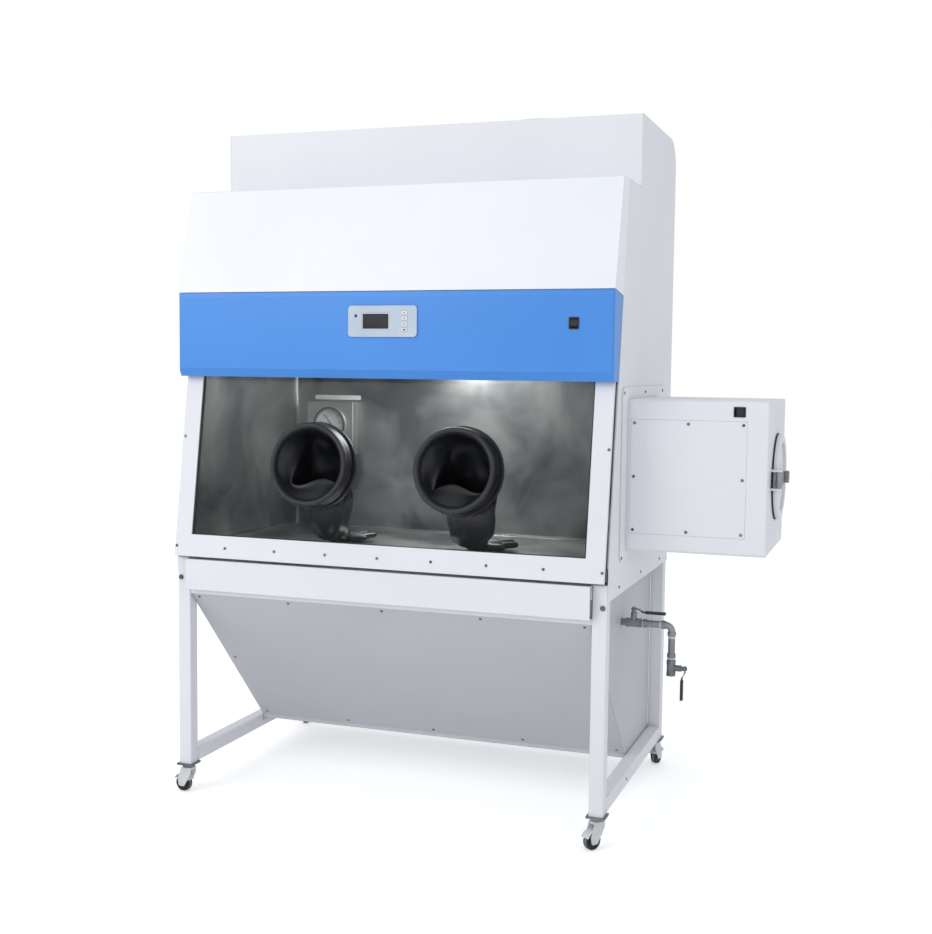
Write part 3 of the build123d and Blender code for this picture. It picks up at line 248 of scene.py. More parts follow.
cuff_rubber = moulded("matt_black_rubber", "#17181B", "#2B2D31", 0.46, 1.4)
glove_rubber = moulded("dipped_neoprene", "#141518", "#26282C", 0.40, 3.0, grain=0.4)
seal_rubber = moulded("extruded_seal_rubber", "#1C1D1F", "#2F3033", 0.60, 1.0)
black_plastic = moulded("black_moulded_abs", "#16171A", "#222428", 0.35, 0.6)
bezel_plastic = moulded("pale_blue_grey_abs", "#B9C6D6", "#C6D1DE", 0.45, 0.7)
white_plastic = moulded("white_moulded_abs", "#E8E9E6", "#D6D7D4", 0.45, 0.7)
fork_plastic = moulded("white_nylon_fork", "#DDDEE0", "#C9CACC", 0.42, 0.9)
filter_paper = moulded("pleated_filter_media", "#EDEBE2", "#DAD7CC", 0.85, 2.5, grain=0.5)

# %% [markdown]
# The window is laminated glass with a slight grey tint. It is drawn as a thin sheet that lets most light
# straight through, because a refracting slab would keep the lamps from lighting the chamber. A faint
# cloud of wiping marks changes its roughness, so that it doesn't look like an empty hole.

# %% Glass


def clear_sheet(name, colour, cover, roughness):
    """Glass as a see-through skin: its tint, how much it covers, and wiping marks in its gloss."""
    material, tree, shader, place = start_material(name)
    marks = put(tree, "ShaderNodeTexNoise", {"Scale": per_metre(240), "Detail": 6.0}, {"Vector": place})
    gloss = put(tree, "ShaderNodeMapRange", {"To Min": roughness, "To Max": roughness + 0.10},
                {"Value": marks.outputs["Fac"]})
    shader.inputs["Base Color"].default_value = linear(colour)
    shader.inputs["Alpha"].default_value = cover
    tree.links.new(gloss.outputs["Result"], shader.inputs["Roughness"])
    return material


window_glass = clear_sheet("tinted_laminated_glass", "#15181A", 0.20, 0.03)
dial_glass = clear_sheet("clear_dial_glass", "#E6ECEC", 0.12, 0.03)

# %% [markdown]
# Three finishes change along a piece: the caster's wheel has a grey band round the middle of its black
# tread, and a valve's lever is bare metal with a dark dipped grip. One material each reads how far a point
# lies along a direction from a centre, both in the object's own coordinates.

# %% Finishes in bands


def banded(name, centre, direction, inner, outer, edge, sharp=0.0006, metal=0.0, roughness=0.45):
    """One colour within a distance of a plane and another beyond it: |(p - centre) . direction| < edge."""
    material, tree, shader, place = start_material(name)
    away = put(tree, "ShaderNodeVectorMath", {1: centre}, {0: place}, operation="SUBTRACT")
    along = put(tree, "ShaderNodeVectorMath", {1: direction}, {0: away.outputs["Vector"]},
                operation="DOT_PRODUCT")
    size = put(tree, "ShaderNodeMath", links={0: along.outputs["Value"]}, operation="ABSOLUTE")
    share = put(tree, "ShaderNodeMapRange", {"From Min": edge - sharp, "From Max": edge + sharp},
                {"Value": size.outputs["Value"]})
    grain = put(tree, "ShaderNodeTexNoise", {"Scale": per_metre(1.5), "Detail": 2.0}, {"Vector": place})
    worn = put(tree, "ShaderNodeMixRGB", {"Color1": linear(inner), "Color2": linear(outer)},
               {"Fac": share.outputs["Result"]})
    edge_round = put(tree, "ShaderNodeBevel", {"Radius": 0.0006}, samples=4)
    bump = put(tree, "ShaderNodeBump", {"Strength": 0.25, "Distance": 0.0003},
               {"Height": grain.outputs["Fac"], "Normal": edge_round.outputs["Normal"]})
    shader.inputs["Roughness"].default_value = roughness
    tree.links.new(worn.outputs["Color"], shader.inputs["Base Color"])
    tree.links.new(bump.outputs["Normal"], shader.inputs["Normal"])
    if metal:
        bare = put(tree, "ShaderNodeMapRange", {"To Min": metal, "To Max": 0.0},
                   {"Value": share.outputs["Result"]})
        tree.links.new(bare.outputs["Result"], shader.inputs["Metallic"])
    return material


# %% [markdown]
# Each node of the frame now gets its finish. The names say which piece is which, so one table from node to
# material is the clearest way, with loops only for the wheels and the levers.

# %% Finishes for the frame's nodes
finishes = {
    white_coat: ["legs", "frame_rails", "front_apron", "left_side_panel", "right_side_panel", "back_panel",
                 "rear_top_cover", "window_frame", "pass_box_shell", "pass_box_cover", "outer_door"],
    lit_hood_coat: ["hood"],
    shaded_white_coat: ["kick_panel", "side_sheets", "base_tray", "fan_housing", "fan_motor", "fan_wheel"],
    blue_coat: ["blue_fascia"],
    chamber_steel: ["chamber_liner", "work_tray", "inner_door", "inner_door_handle", "clamp_arm",
                    "clamp_knob"],
    gauge_steel: ["gauge_box"],
    fitting_steel: ["drain_pipes", "drain_valves"],
    zinc_steel: ["caster_plates", "screws_and_bolts"],
    seal_rubber: ["window_gasket", "outer_door_seal"],
    black_plastic: ["port_rings", "display_screen", "switch_frames", "power_rocker", "pass_box_rocker",
                    "gauge_needle"],
    bezel_plastic: ["display_bezel"],
    white_plastic: ["up_key", "down_key", "set_key", "lamp_key", "lamp"],
    filter_paper: ["filters"],
    window_glass: ["window_glass"],
    dial_glass: ["gauge_glass"],
}
for material, names in finishes.items():
    for name in names:
        nodes[name].data.materials.clear()
        nodes[name].data.materials.append(material)

tread_band = 0.0042
caster_names = ("front_left", "front_right", "rear_left", "rear_right")
for name in caster_names:
    nodes[name + "_fork"].data.materials.clear()
    nodes[name + "_fork"].data.materials.append(fork_plastic)
    roll_axis = next(j["axis"] for j in frame["joints"] if j["name"] == name + "_roll")
    low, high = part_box(name + "_wheel")
    tread = banded(name + "_tread_rubber", tuple((low + high) / 2), tuple(roll_axis), "#6B6D70", "#17181A",
                   tread_band)
    nodes[name + "_wheel"].data.materials.clear()
    nodes[name + "_wheel"].data.materials.append(tread)

lever_bare = 0.030
for name, direction in (("upper_drain_lever", (1, 0, 0)), ("lower_drain_lever", (0, 0, -1))):
    low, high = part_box(name)
    near_end = Vector((low.x, (low.y + high.y) / 2, high.z))
    lever_finish = banded(name + "_dipped_grip", tuple(near_end), direction, "#8A8C8E", "#2A2B2E", lever_bare,
                          metal=1.0, roughness=0.38)
    nodes[name].data.materials.clear()
    nodes[name].data.materials.append(lever_finish)
print("finished nodes:", sum(bool(o.data.materials) for o in nodes.values()), "of", len(nodes))

# %% [markdown]
# New pieces are surfaces on a grid: two parameters, u round or across the piece and v along it, give every
# point by a formula. One function turns such a grid of points into a mesh, closing it round u where
# the piece is a tube. The place is in the points, so each object stays at the origin.

# %% From a grid of points to a piece


def grid_faces(rows, columns, closed):
    """Quads between neighbouring grid points; closed joins the last column to the first."""
    last = columns if closed else columns - 1
    row, column = np.meshgrid(np.arange(rows - 1), np.arange(last), indexing="ij")
    after = (column + 1) % columns
    quads = np.stack([row * columns + column, row * columns + after,
                      (row + 1) * columns + after, (row + 1) * columns + column], axis=-1)
    return quads.reshape(-1, 4)


def piece(name, points, faces, material, body="cabinet", smooth=True):
    """A mesh object from points (metres) and faces, with its finish, riding on a body."""
    mesh = bpy.data.meshes.new(name)
    places = np.asarray(points, float).reshape(-1, 3).tolist()
    mesh.from_pydata(places, [], [list(map(int, face)) for face in faces])
    mesh.validate()
    mesh.shade_smooth() if smooth else mesh.shade_flat()
    mesh.materials.append(material)
    made = bpy.data.objects.new(name, mesh)
    bpy.context.scene.collection.objects.link(made)
    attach(made, body)
    print(name, len(mesh.polygons), "faces")
    return made


def finish_wall(made, thickness, levels=1):
    """Gives an open surface a wall and rounds it off, with both modifiers left live on the piece."""
    wall = made.modifiers.new("wall", "SOLIDIFY")
    wall.thickness = thickness
    wall.offset = 0.0
    smooth = made.modifiers.new("smooth", "SUBSURF")
    smooth.levels = levels
    smooth.render_levels = levels


# %% [markdown]
# The glove ports lie in the leaning window, so it is easiest to make their pieces in the window's own
# directions: across, up the slope and out towards the person. The slope is given as 8.8 degrees, the
# angle by which the frame's front face leans back.

# %% The window's own directions
window_lean = np.radians(8.8)
frame_low, frame_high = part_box("window_frame")
ring_low, ring_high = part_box("port_rings")
across = np.array((1.0, 0.0, 0.0))
slope_up = np.array((0.0, np.sin(window_lean), np.cos(window_lean)))
outward = np.array((0.0, -np.cos(window_lean), np.sin(window_lean)))
flange_radius = 0.125
port_centres = []
for centre_x in (ring_low.x + flange_radius, ring_high.x - flange_radius):
    centre_z = (ring_low.z + ring_high.z) / 2
    front_y = frame_low.y + (centre_z - frame_low.z) * np.tan(window_lean)
    port_centres.append(np.array((centre_x, front_y, centre_z)))
print("ports at", [tuple(np.round(c, 3)) for c in port_centres])


def in_window(centre, a, b, out):
    """Points from distances across (a), up the slope (b) and outward (out) from a point on the window."""
    a, b, out = np.broadcast_arrays(a, b, out)
    return centre + a[..., None] * across + b[..., None] * slope_up + out[..., None] * outward


# %% [markdown]
# A cuff is a moulded rubber sleeve that is stretched over the port ring. It has two ribs that keep the
# clamp band from slipping, and a fat rounded lip that rolls over the ring into the bore. It is a
# surface of revolution, a profile of radius and height turned about the port's axis. A few low waves
# round the lip keep it from looking like turned metal.

# %% Rubber cuffs
cuff_profile = np.array([
    (0.1132, 0.004), (0.1165, 0.004), (0.1182, 0.0065), (0.1185, 0.009), (0.1172, 0.0115), (0.1165, 0.014),
    (0.1165, 0.020), (0.1180, 0.0225), (0.1186, 0.025), (0.1178, 0.0275), (0.1168, 0.030), (0.1168, 0.038),
    (0.1175, 0.044), (0.1172, 0.0485), (0.1150, 0.0525), (0.1110, 0.0535), (0.1070, 0.0530),
    (0.1035, 0.0500),
    (0.1018, 0.0450), (0.1015, 0.0300), (0.1015, 0.0100)])
cuff_columns = 96


def smooth_profile(points, times):
    """A finer profile: interpolated along its length, then averaged as (before + 2 here + after) / 4."""
    step = np.concatenate([[0], np.cumsum(np.hypot(*np.diff(points, axis=0).T))])
    fine = np.linspace(0, step[-1], len(points) * times)
    out = np.stack([np.interp(fine, step, points[:, i]) for i in (0, 1)], axis=1)
    out[1:-1] = (out[:-2] + 2 * out[1:-1] + out[2:]) / 4
    return out


for side, centre in zip(("left", "right"), port_centres):
    profile = smooth_profile(cuff_profile, 2)
    angle = np.linspace(0, 2 * np.pi, cuff_columns, endpoint=False)
    phase = centre[0] * 9
    lip = np.clip((profile[:, 1] - 0.040) / 0.013, 0, 1)[:, None]
    wave = 0.0006 * lip * (np.sin(3 * angle + phase) + 0.6 * np.sin(7 * angle - phase))
    radius = profile[:, 0][:, None] + wave
    height = profile[:, 1][:, None] + wave * 0.6
    points = in_window(centre, radius * np.cos(angle), radius * np.sin(angle), height + 0 * angle)
    cuff = piece(side + "_cuff", points, grid_faces(*radius.shape, True)[:, ::-1], cuff_rubber)
    finish_wall(cuff, 0.0016)
    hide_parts("glove_cuffs")

# %% [markdown]
# A gauntlet hangs limp when no arm is in it. Its sleeve starts inside the cuff, sags into a few deep folds
# just behind the window, and drops to the tray, where the hand lies flat. The sleeve is one grid: v runs
# down the sleeve along a smooth centre line and u runs round it. The section starts as a circle and is
# pressed flat by a soft floor and a soft wall, which is what makes the crease that shows in the port.

# %% Sleeves of the gauntlets


def soft_floor(value, level, width):
    """The larger of a value and a level, with the corner rounded over a width."""
    gap = value - level
    return level + 0.5 * (gap + np.sqrt(gap ** 2 + width ** 2))


def sleeve_grid(centre, side_turn, rows=90, columns=104):
    """Points line(v) + a cos u + b sin u: a line from the port down to the tray, with folded half axes."""
    v = np.linspace(0, 1, rows)
    u = np.linspace(0, 2 * np.pi, columns, endpoint=False)
    tray_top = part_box("work_tray")[1].z
    start = centre + outward * 0.046
    knots = np.array([start, centre - outward * 0.004, centre - outward * 0.050 - slope_up * 0.018,
                      centre - outward * 0.100 - slope_up * 0.075,
                      centre - outward * 0.115 - slope_up * 0.150,
                      np.array((centre[0] - 0.018, centre[1] + 0.135, tray_top + 0.045)),
                      np.array((centre[0] - 0.012, centre[1] + 0.185, tray_top + 0.020))])
    where = np.linspace(0, 1, len(knots))
    line = np.stack([np.interp(v, where, knots[:, i]) for i in range(3)], axis=1)
    for _ in range(14):
        line[1:-1] = (line[:-2] + 2 * line[1:-1] + line[2:]) / 4
    ahead_dir = np.gradient(line, axis=0)
    ahead_dir /= np.linalg.norm(ahead_dir, axis=1)[:, None]
    side_dir = np.cross(ahead_dir, across + 0 * ahead_dir)
    side_dir /= np.linalg.norm(side_dir, axis=1)[:, None]
    wide = np.interp(v, [0, 0.18, 0.4, 0.7, 0.92, 1], [0.1005, 0.099, 0.080, 0.058, 0.047, 0.040])
    deep = np.interp(v, [0, 0.18, 0.4, 0.7, 0.92, 1], [0.1005, 0.093, 0.052, 0.034, 0.022, 0.016])
    limp = np.clip((v - 0.05) / 0.25, 0, 1)[:, None]
    folds = limp * (0.10 * np.sin(3 * u + 9 * v[:, None] + side_turn)
                    + 0.06 * np.sin(5 * u - 14 * v[:, None] + 2 * side_turn)
                    + 0.03 * np.sin(9 * u + 31 * v[:, None]))
    a = wide[:, None] * np.cos(u) * (1 + folds)
    b = deep[:, None] * np.sin(u) * (1 + folds)
    press = np.clip((v - 0.02) / 0.16, 0, 1)[:, None] * np.clip((0.55 - v) / 0.3, 0, 1)[:, None]
    b = b + press * (soft_floor(b, -0.046 + 0.012 * np.sin(4 * a / 0.1 + side_turn), 0.010) - b)
    a = a + press * (soft_floor(a, -0.062 + 0.02 * b / 0.1, 0.012) - a)
    lift = -np.cross(ahead_dir, side_dir)
    return line[:, None] + a[..., None] * lift[:, None] + b[..., None] * (-side_dir[:, None])


for side, centre, turn_by in zip(("left", "right"), port_centres, (0.4, 2.3)):
    points = sleeve_grid(centre, turn_by)
    sleeve = piece(side + "_sleeve", points, grid_faces(*points.shape[:2], True), glove_rubber)
    finish_wall(sleeve, 0.0012)
    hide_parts(side + "_glove")

# %% [markdown]
# The hand at the sleeve's end is a dipped glove, thick and a little shapeless. Palm, thumb and fingers
# are fat tubes with round ends, laid side by side on the tray with a slight curl. Voxel remeshing melts
# them into one skin, as the dipping does, and a light smoothing rounds the webs between the fingers.

# %% Hands of the gauntlets


def capsule(start, end, radius0, radius1, flat, rings=14, columns=20):
    """A tube with round ends between two points: the radius tapers, the ends follow a half circle."""
    t = np.linspace(0, 1, rings)
    swell = np.sqrt(np.clip(1 - (2 * t - 1) ** 6, 0, 1))
    u = np.linspace(0, 2 * np.pi, columns, endpoint=False)
    run = end - start
    forward = run / np.linalg.norm(run)
    sideways = np.cross(forward, (0, 0, 1))
    sideways /= np.linalg.norm(sideways)
    rise = np.cross(sideways, forward)
    size = (radius0 + (radius1 - radius0) * t) * swell + 1e-4
    middle_line = start + t[:, None] * run
    return (middle_line[:, None] + (size[:, None] * np.cos(u))[..., None] * sideways
            + (size[:, None] * np.sin(u) * flat)[..., None] * rise)


def capped_faces(rows, columns, offset):
    """The faces of a closed tube: quads along it and one many-sided cap at each end."""
    quads = (grid_faces(rows, columns, True) + offset).tolist()
    first = [offset + i for i in range(columns)][::-1]
    last = [offset + (rows - 1) * columns + i for i in range(columns)]
    return quads + [first, last]


fingers = ((-0.030, 0.066), (-0.010, 0.078), (0.011, 0.074), (0.031, 0.058))
for side, centre, heading in zip(("left", "right"), port_centres, (0.42, 0.72)):
    tray_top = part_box("work_tray")[1].z
    wrist = np.array((centre[0] - 0.013, centre[1] + 0.178, tray_top + 0.0185))
    forward = np.array((np.sin(heading), np.cos(heading), 0.0))
    sideways = np.array((np.cos(heading), -np.sin(heading), 0.0))
    shapes = [capsule(wrist - forward * 0.03, wrist + forward * 0.085, 0.036, 0.044, 0.42)]
    for index, (spread, length) in enumerate(fingers):
        root = wrist + forward * 0.062 + sideways * spread
        curl = np.array((0, 0, 0.006 * (index % 2) - 0.004))
        tip = root + forward * length + sideways * spread * 0.35 + curl
        shapes.append(capsule(root, tip, 0.0125, 0.0105, 0.85))
    thumb_root = wrist + forward * 0.012 + sideways * 0.030
    shapes.append(capsule(thumb_root, thumb_root + forward * 0.045 + sideways * 0.042, 0.015, 0.012, 0.85))
    points = np.concatenate([s.reshape(-1, 3) for s in shapes])
    faces, offset = [], 0
    for shape in shapes:
        faces += capped_faces(*shape.shape[:2], offset)
        offset += shape.shape[0] * shape.shape[1]
    hand = piece(side + "_hand", points, faces, glove_rubber)
    melt = hand.modifiers.new("melt", "REMESH")
    melt.mode = "VOXEL"
    melt.voxel_size = 0.0028
    melt.use_smooth_shade = True
    ease = hand.modifiers.new("ease", "SMOOTH")
    ease.iterations = 6

# %% [markdown]
# Where the window frame meets the glass a black rubber bead shows all round, a few millimetres wide.
# It is a small half-round profile carried along the opening's four sides, mitred at the corners: each
# corner point is pushed out along both sides at once.

# %% Bead round the window opening
frame_rail, foot_rail, head_rail, frame_slope = 0.052, 0.0648, 0.072, 0.617
opening_half = (frame_high.x - frame_low.x) / 2 - frame_rail
opening_middle = np.array(((frame_low.x + frame_high.x) / 2, frame_low.y, frame_low.z))
bead_profile = np.array([(0.0000, -0.0098), (0.0, -0.0035), (0.0012, -0.0022), (0.0028, -0.0022),
                         (0.0040, -0.0040), (0.0044, -0.0098)])
corner_x = np.array((-1, 1, 1, -1)) * opening_half
corner_s = np.array((foot_rail, foot_rail, frame_slope - head_rail, frame_slope - head_rail))
inward_x = np.array((1, -1, -1, 1))
inward_s = np.array((1, 1, -1, -1))
bead_a = corner_x[:, None] + inward_x[:, None] * bead_profile[:, 0]
bead_b = corner_s[:, None] + inward_s[:, None] * bead_profile[:, 0]
bead_points = in_window(opening_middle, bead_a, bead_b, np.broadcast_to(bead_profile[:, 1], bead_a.shape))
bead_quads = grid_faces(len(bead_profile), 4, True)
bead = piece("window_bead", np.swapaxes(bead_points, 0, 1), bead_quads, seal_rubber, smooth=False)

# %% [markdown]
# The pressure gauge has a pale dial with a ring of ticks and plain numbers. A tick is a thin bar laid
# at its angle, so all ticks are one array of corners. The numbers are text that is turned into a mesh.

# %% Dial of the pressure gauge
gauge_low, gauge_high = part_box("gauge_box")
glass_disc_low, glass_disc_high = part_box("gauge_glass")
dial_centre = (glass_disc_low + glass_disc_high) / 2
needle_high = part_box("gauge_needle")[1]
dial_y = needle_high.y + 0.00020
dial_radius = 0.0492
dial_card = moulded("printed_dial_card", "#D9DCDD", "#CDD1D2", 0.55, 1.0, grain=0.1)
ink = moulded("printed_black_ink", "#1D1F22", "#26282B", 0.6, 1.0, grain=0.05)
gauge_rim = moulded("dark_gauge_rim", "#3A3E41", "#4A4E51", 0.35, 0.8)
disc_radius = np.array((0.0, 0.25, 0.5, 0.75, 1.0))[:, None] * dial_radius
disc_angle = np.linspace(0, 2 * np.pi, 64, endpoint=False)
disc_points = np.stack([dial_centre.x + disc_radius * np.cos(disc_angle),
                        dial_y + 0 * disc_radius * disc_angle,
                        dial_centre.z + disc_radius * np.sin(disc_angle)], axis=-1)
dial = piece("gauge_dial", disc_points, grid_faces(5, 64, True), dial_card, smooth=False)
finish_card = dial.modifiers.new("card", "SOLIDIFY")
finish_card.thickness = 0.0002
finish_card.offset = 1.0

rim_turn = np.linspace(0, np.pi, 9)[:, None]
rim_radius = 0.0540 + 0.0036 * np.cos(rim_turn) + 0 * disc_angle
rim_points = np.stack([dial_centre.x + rim_radius * np.cos(disc_angle),
                       gauge_low.y - 0.0002 - 0.0020 * np.sin(rim_turn) + 0 * disc_angle,
                       dial_centre.z + rim_radius * np.sin(disc_angle)], axis=-1)
piece("gauge_rim", rim_points, grid_faces(9, 64, True), gauge_rim)

ink_proud = 0.00008
number_radius = 0.030
tick_angles = np.radians(np.linspace(-120, 120, 31))
tick_long = np.arange(31) % 5 == 0
tick_in = np.where(tick_long, 0.036, 0.040)
tick_half = np.where(tick_long, 0.0008, 0.0004)
corners = np.array([(-1, 0), (1, 0), (1, 1), (-1, 1)])
reach = tick_in[:, None] + corners[:, 1] * (0.044 - tick_in)[:, None]
swing = corners[:, 0] * tick_half[:, None]
tick_x = dial_centre.x + reach * np.sin(tick_angles)[:, None] + swing * np.cos(tick_angles)[:, None]
tick_z = dial_centre.z + reach * np.cos(tick_angles)[:, None] - swing * np.sin(tick_angles)[:, None]
tick_points = np.stack([tick_x, np.full_like(tick_x, dial_y - ink_proud), tick_z], axis=-1)
piece("gauge_ticks", tick_points, np.arange(31 * 4).reshape(-1, 4), ink, smooth=False)


def flat_text(name, words, size, centre, material, body="cabinet"):
    """Words as a thin mesh that faces the window, centred on a point."""
    curve = bpy.data.curves.new(name, "FONT")
    curve.body = words
    curve.size = size
    curve.align_x = "CENTER"
    curve.align_y = "CENTER"
    holder = bpy.data.objects.new(name + "_text", curve)
    bpy.context.scene.collection.objects.link(holder)
    bpy.context.view_layer.update()
    mesh = bpy.data.meshes.new_from_object(holder.evaluated_get(bpy.context.evaluated_depsgraph_get()))
    bpy.data.objects.remove(holder)
    mesh.transform(Matrix.Translation(centre) @ Matrix.Rotation(np.pi / 2, 4, "X"))
    mesh.materials.clear()
    mesh.materials.append(material)
    made = bpy.data.objects.new(name, mesh)
    bpy.context.scene.collection.objects.link(made)
    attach(made, body)
    return made


for index, angle in enumerate(np.radians(np.linspace(-120, 120, 7))):
    spot = Vector((dial_centre.x + number_radius * np.sin(angle), dial_y - ink_proud,
                   dial_centre.z + number_radius * np.cos(angle)))
    flat_text("gauge_number_%d" % index, str(index * 10), 0.009, spot, ink)
print("dial ready with", len(tick_angles), "ticks")

# %% [markdown]
# Small plates and marks finish the controls: a pale border and a dim panel behind the screen, a dark
# signal lamp, a sign on each key, and a bare strip above the gauge. They are thin rounded plates, made
# by one function: a super-ellipse gives a rectangle with round corners for any angle.

# %% Plates and marks


def plate(name, centre, width, height, thickness, material, corner=8.0, body="cabinet", columns=48):
    """A thin plate that faces the front, with the outline |x/a|^n + |z/b|^n = 1 for a corner number n."""
    u = np.linspace(0, 2 * np.pi, columns, endpoint=False) + np.pi / columns
    across_share = np.sign(np.cos(u)) * np.abs(np.cos(u)) ** (2 / corner)
    up_share = np.sign(np.sin(u)) * np.abs(np.sin(u)) ** (2 / corner)
    inset = np.array((0.0, 1.0, 1.0, 0.985))[:, None]
    depth = np.array((0.0, 0.0, 0.75, 1.0))[:, None] * thickness
    rings = np.stack([centre[0] + inset * across_share * width / 2, centre[1] - depth + 0 * u,
                      centre[2] + inset * up_share * height / 2], axis=-1)
    front = centre + np.array((0, -thickness, 0))
    points = np.concatenate([rings[1:].reshape(-1, 3), [front], [centre]])
    quads = grid_faces(3, columns, True).tolist()
    top = 3 * columns
    rim = 2 * columns
    fans = [[rim + i, rim + (i + 1) % columns, top] for i in range(columns)]
    fans += [[(i + 1) % columns, i, top + 1] for i in range(columns)]
    return piece(name, points, quads + fans, material, body, smooth=False)


bezel_low, bezel_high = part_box("display_bezel")
screen_low, screen_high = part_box("display_screen")
screen_middle = np.array((screen_low + screen_high) / 2)
screen_middle[1] = screen_low.y
screen_width = screen_high.x - screen_low.x
screen_height = screen_high.z - screen_low.z
border_finish = moulded("pale_screen_border", "#D8E0E6", "#C9D2DA", 0.4, 0.8)
panel_finish = moulded("unlit_screen_glass", "#101216", "#16191F", 0.12, 4.0, grain=0.02)
lamp_finish = moulded("dark_signal_lens", "#1E2A44", "#26345A", 0.15, 2.0, grain=0.02)
strip_finish = moulded("bare_white_strip", "#DDE1E3", "#CBD0D3", 0.4, 1.5)
skin = 0.0004
screen_rim = 0.005
plate("screen_border", screen_middle, screen_width, screen_height, skin, border_finish, corner=24)
plate("screen_panel", screen_middle - np.array((0, skin, 0)), screen_width - screen_rim,
      screen_height - screen_rim, skin, panel_finish, corner=24)
signal = np.array((bezel_low.x + 0.0235, bezel_low.y, bezel_high.z - 0.0283))
plate("signal_lens", signal, 0.0085, 0.0085, 0.0008, lamp_finish, corner=2.0)
for index, name in enumerate(("up_key", "down_key", "set_key", "lamp_key")):
    key_low, key_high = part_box(name)
    face = np.array(((key_low.x + key_high.x) / 2, key_low.y, (key_low.z + key_high.z) / 2))
    if index < 2:
        tip = 1 if index == 0 else -1
        mark_points = face + np.array([(-0.0030, -0.0002, -0.0014 * tip), (0.0030, -0.0002, -0.0014 * tip),
                                       (0.0, -0.0002, 0.0020 * tip)])
        order = [[0, 1, 2]] if tip > 0 else [[0, 2, 1]]
        piece(name + "_mark", mark_points, order, ink, name, smooth=False)
    else:
        mark_height = 0.0022 + 0.0020 * (index - 2)
        plate(name + "_mark", face, 0.0060, mark_height, 0.0002, ink, corner=4.0, body=name)
strip_low = np.array(((gauge_low.x + gauge_high.x) / 2 + 0.009, gauge_high.y, gauge_high.z + 0.0125))
plate("wall_strip", strip_low, gauge_high.x - gauge_low.x, 0.015, 0.001, strip_finish, corner=20)

# %% [markdown]
# Threaded joints in the drain are sealed with white tape, which shows as a thin pale ring at each joint.
# A ring is a small band turned about the pipe, slightly lumpy because tape is wound by hand.

# %% Tape on the drain's threads
tape = moulded("white_thread_tape", "#E4E5E2", "#C8C9C6", 0.6, 1.2, grain=0.6)
valves_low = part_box("drain_valves")[0]
pipes_low, pipes_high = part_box("drain_pipes")
pipe_radius = 0.010
drain_z = 0.548
drop_x = pipes_high.x - 0.0125
drain_y = (pipes_low.y + pipes_high.y) / 2


def tape_ring(name, centre, axis, side_a, side_b, radius, width):
    """A band about an axis: the radius bulges in the middle and wobbles a little with the angle."""
    v = np.linspace(-1, 1, 9)[:, None]
    u = np.linspace(0, 2 * np.pi, 40, endpoint=False)
    bulge = radius + 0.0011 * (1 - v ** 4) + 0.00018 * np.sin(5 * u + 3 * v) * (1 - v ** 2)
    points = (centre + (v * width / 2 + 0 * u)[..., None] * axis + (bulge * np.cos(u))[..., None] * side_a
              + (bulge * np.sin(u))[..., None] * side_b)
    ring = piece(name, points, grid_faces(9, 40, True), tape)


side_x, side_y, side_z = np.eye(3)
upper_valve_end = valves_low.x + 0.0515
elbow_reach = 0.033
lower_joint_z = 0.452
for name, x, width in (("tape_upper", upper_valve_end, 0.0055), ("tape_elbow", drop_x - elbow_reach, 0.0055)):
    tape_ring(name, np.array((x, drain_y, drain_z)), side_x, side_y, side_z, pipe_radius, width)
drop_joint_z = drain_z - 0.034
for name, z, width in (("tape_drop", drop_joint_z, 0.0060), ("tape_lower", lower_joint_z, 0.0050)):
    tape_ring(name, np.array((drop_x, drain_y, z)), side_z, side_x, side_y, pipe_radius, width)

# %% [markdown]
# The studio is a pale floor with soft light from three sides. The large lamp stands in front on the
# left, because the cabinet's front is bright and its right side is greyer. The background is white
# only for rays that come straight from the camera or through glass. For the camera the floor is lifted a
# little towards white, so that only the cabinet's own shadow shows on it.

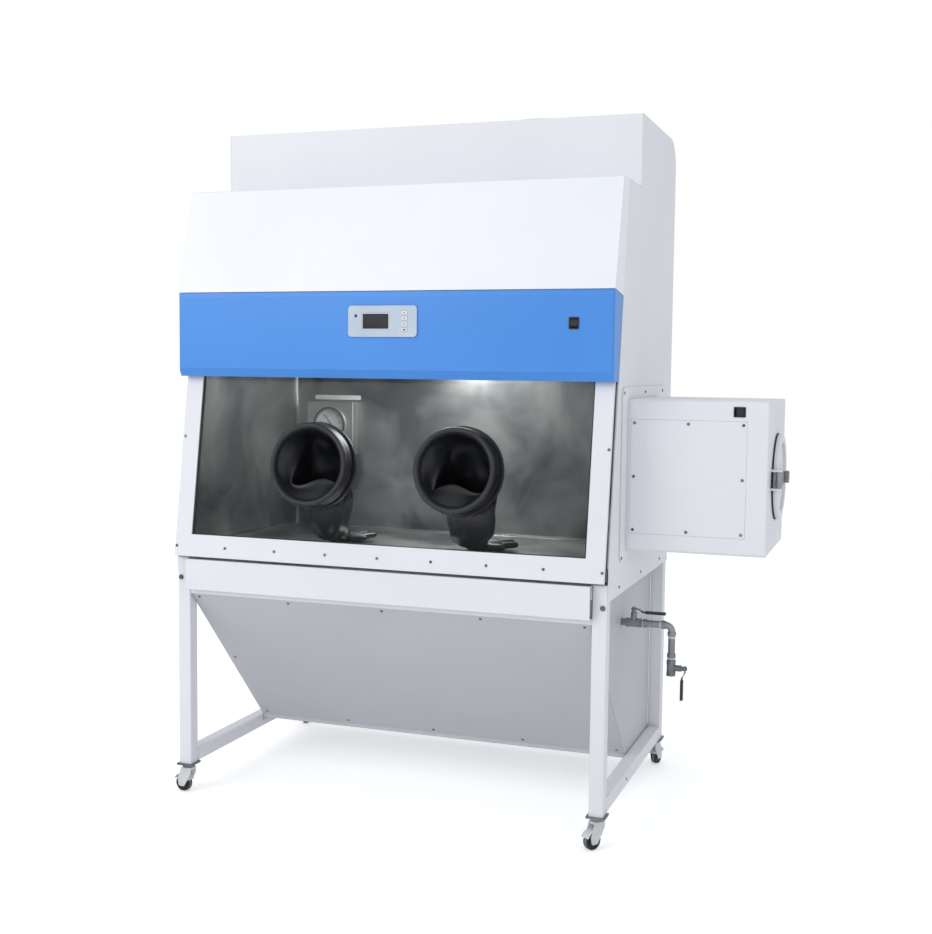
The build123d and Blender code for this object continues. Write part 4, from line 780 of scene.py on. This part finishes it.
# %% Floor, light and background
floor_size = 12.0
floor_mesh = bpy.data.meshes.new("floor")
floor_corners = [(x * floor_size, y * floor_size, 0) for x, y in ((-1, -1), (1, -1), (1, 1), (-1, 1))]
floor_mesh.from_pydata(floor_corners, [], [(0, 1, 2, 3)])
floor = bpy.data.objects.new("floor", floor_mesh)
floor_paint, floor_tree, floor_shader, floor_place = start_material("pale_floor")
floor_tone = put(floor_tree, "ShaderNodeTexNoise", {"Scale": per_metre(900)}, {"Vector": floor_place})
floor_ramp = put(floor_tree, "ShaderNodeValToRGB", links={"Fac": floor_tone.outputs["Fac"]})
ramp_colours(floor_ramp, [(0.3, "#F8F8F9"), (0.7, "#FDFDFD")])
floor_tree.links.new(floor_ramp.outputs["Color"], floor_shader.inputs["Base Color"])
floor_shader.inputs["Roughness"].default_value = 0.8
floor_shader.inputs["Emission Color"].default_value = (1, 1, 1, 1)
floor_ray = put(floor_tree, "ShaderNodeLightPath")
floor_lift = put(floor_tree, "ShaderNodeMath", {1: 0.36}, {0: floor_ray.outputs["Is Camera Ray"]},
                 operation="MULTIPLY")
floor_tree.links.new(floor_lift.outputs["Value"], floor_shader.inputs["Emission Strength"])
floor_mesh.materials.append(floor_paint)
bpy.context.scene.collection.objects.link(floor)

world = bpy.data.worlds.new("studio")
bpy.context.scene.world = world
world.use_nodes = True
world_tree = world.node_tree
world_tree.nodes.clear()
ray = put(world_tree, "ShaderNodeLightPath")
seen = put(world_tree, "ShaderNodeMath", None,
           {0: ray.outputs["Is Camera Ray"], 1: ray.outputs["Is Transmission Ray"]}, operation="MAXIMUM")
air = put(world_tree, "ShaderNodeBackground", {"Color": linear("#F6F8FC"), "Strength": 0.80})
white = put(world_tree, "ShaderNodeBackground", {"Color": (1, 1, 1, 1), "Strength": 1.0})
choice = put(world_tree, "ShaderNodeMixShader", None,
             {0: seen.outputs["Value"], 1: air.outputs["Background"], 2: white.outputs["Background"]})
put(world_tree, "ShaderNodeOutputWorld", links={"Surface": choice.outputs["Shader"]})


def soft_lamp(name, place, target, size, watts):
    """A square area lamp at a place, turned towards a target."""
    data = bpy.data.lights.new(name, "AREA")
    data.size = size
    data.energy = watts
    lamp = bpy.data.objects.new(name, data)
    lamp.location = place
    lamp.rotation_euler = (Vector(target) - Vector(place)).to_track_quat("-Z", "Y").to_euler()
    bpy.context.scene.collection.objects.link(lamp)


heart = middle + Vector((0, 0.4, 1.0))
soft_lamp("key", middle + Vector((-2.2, -3.6, 2.9)), heart, 2.6, 55)
soft_lamp("fill", middle + Vector((3.2, -2.4, 2.0)), heart, 2.4, 8)
soft_lamp("chamber_light", middle + Vector((0.0, 0.42, 1.325)), middle + Vector((0, 0.45, 0.75)), 0.26, 9)
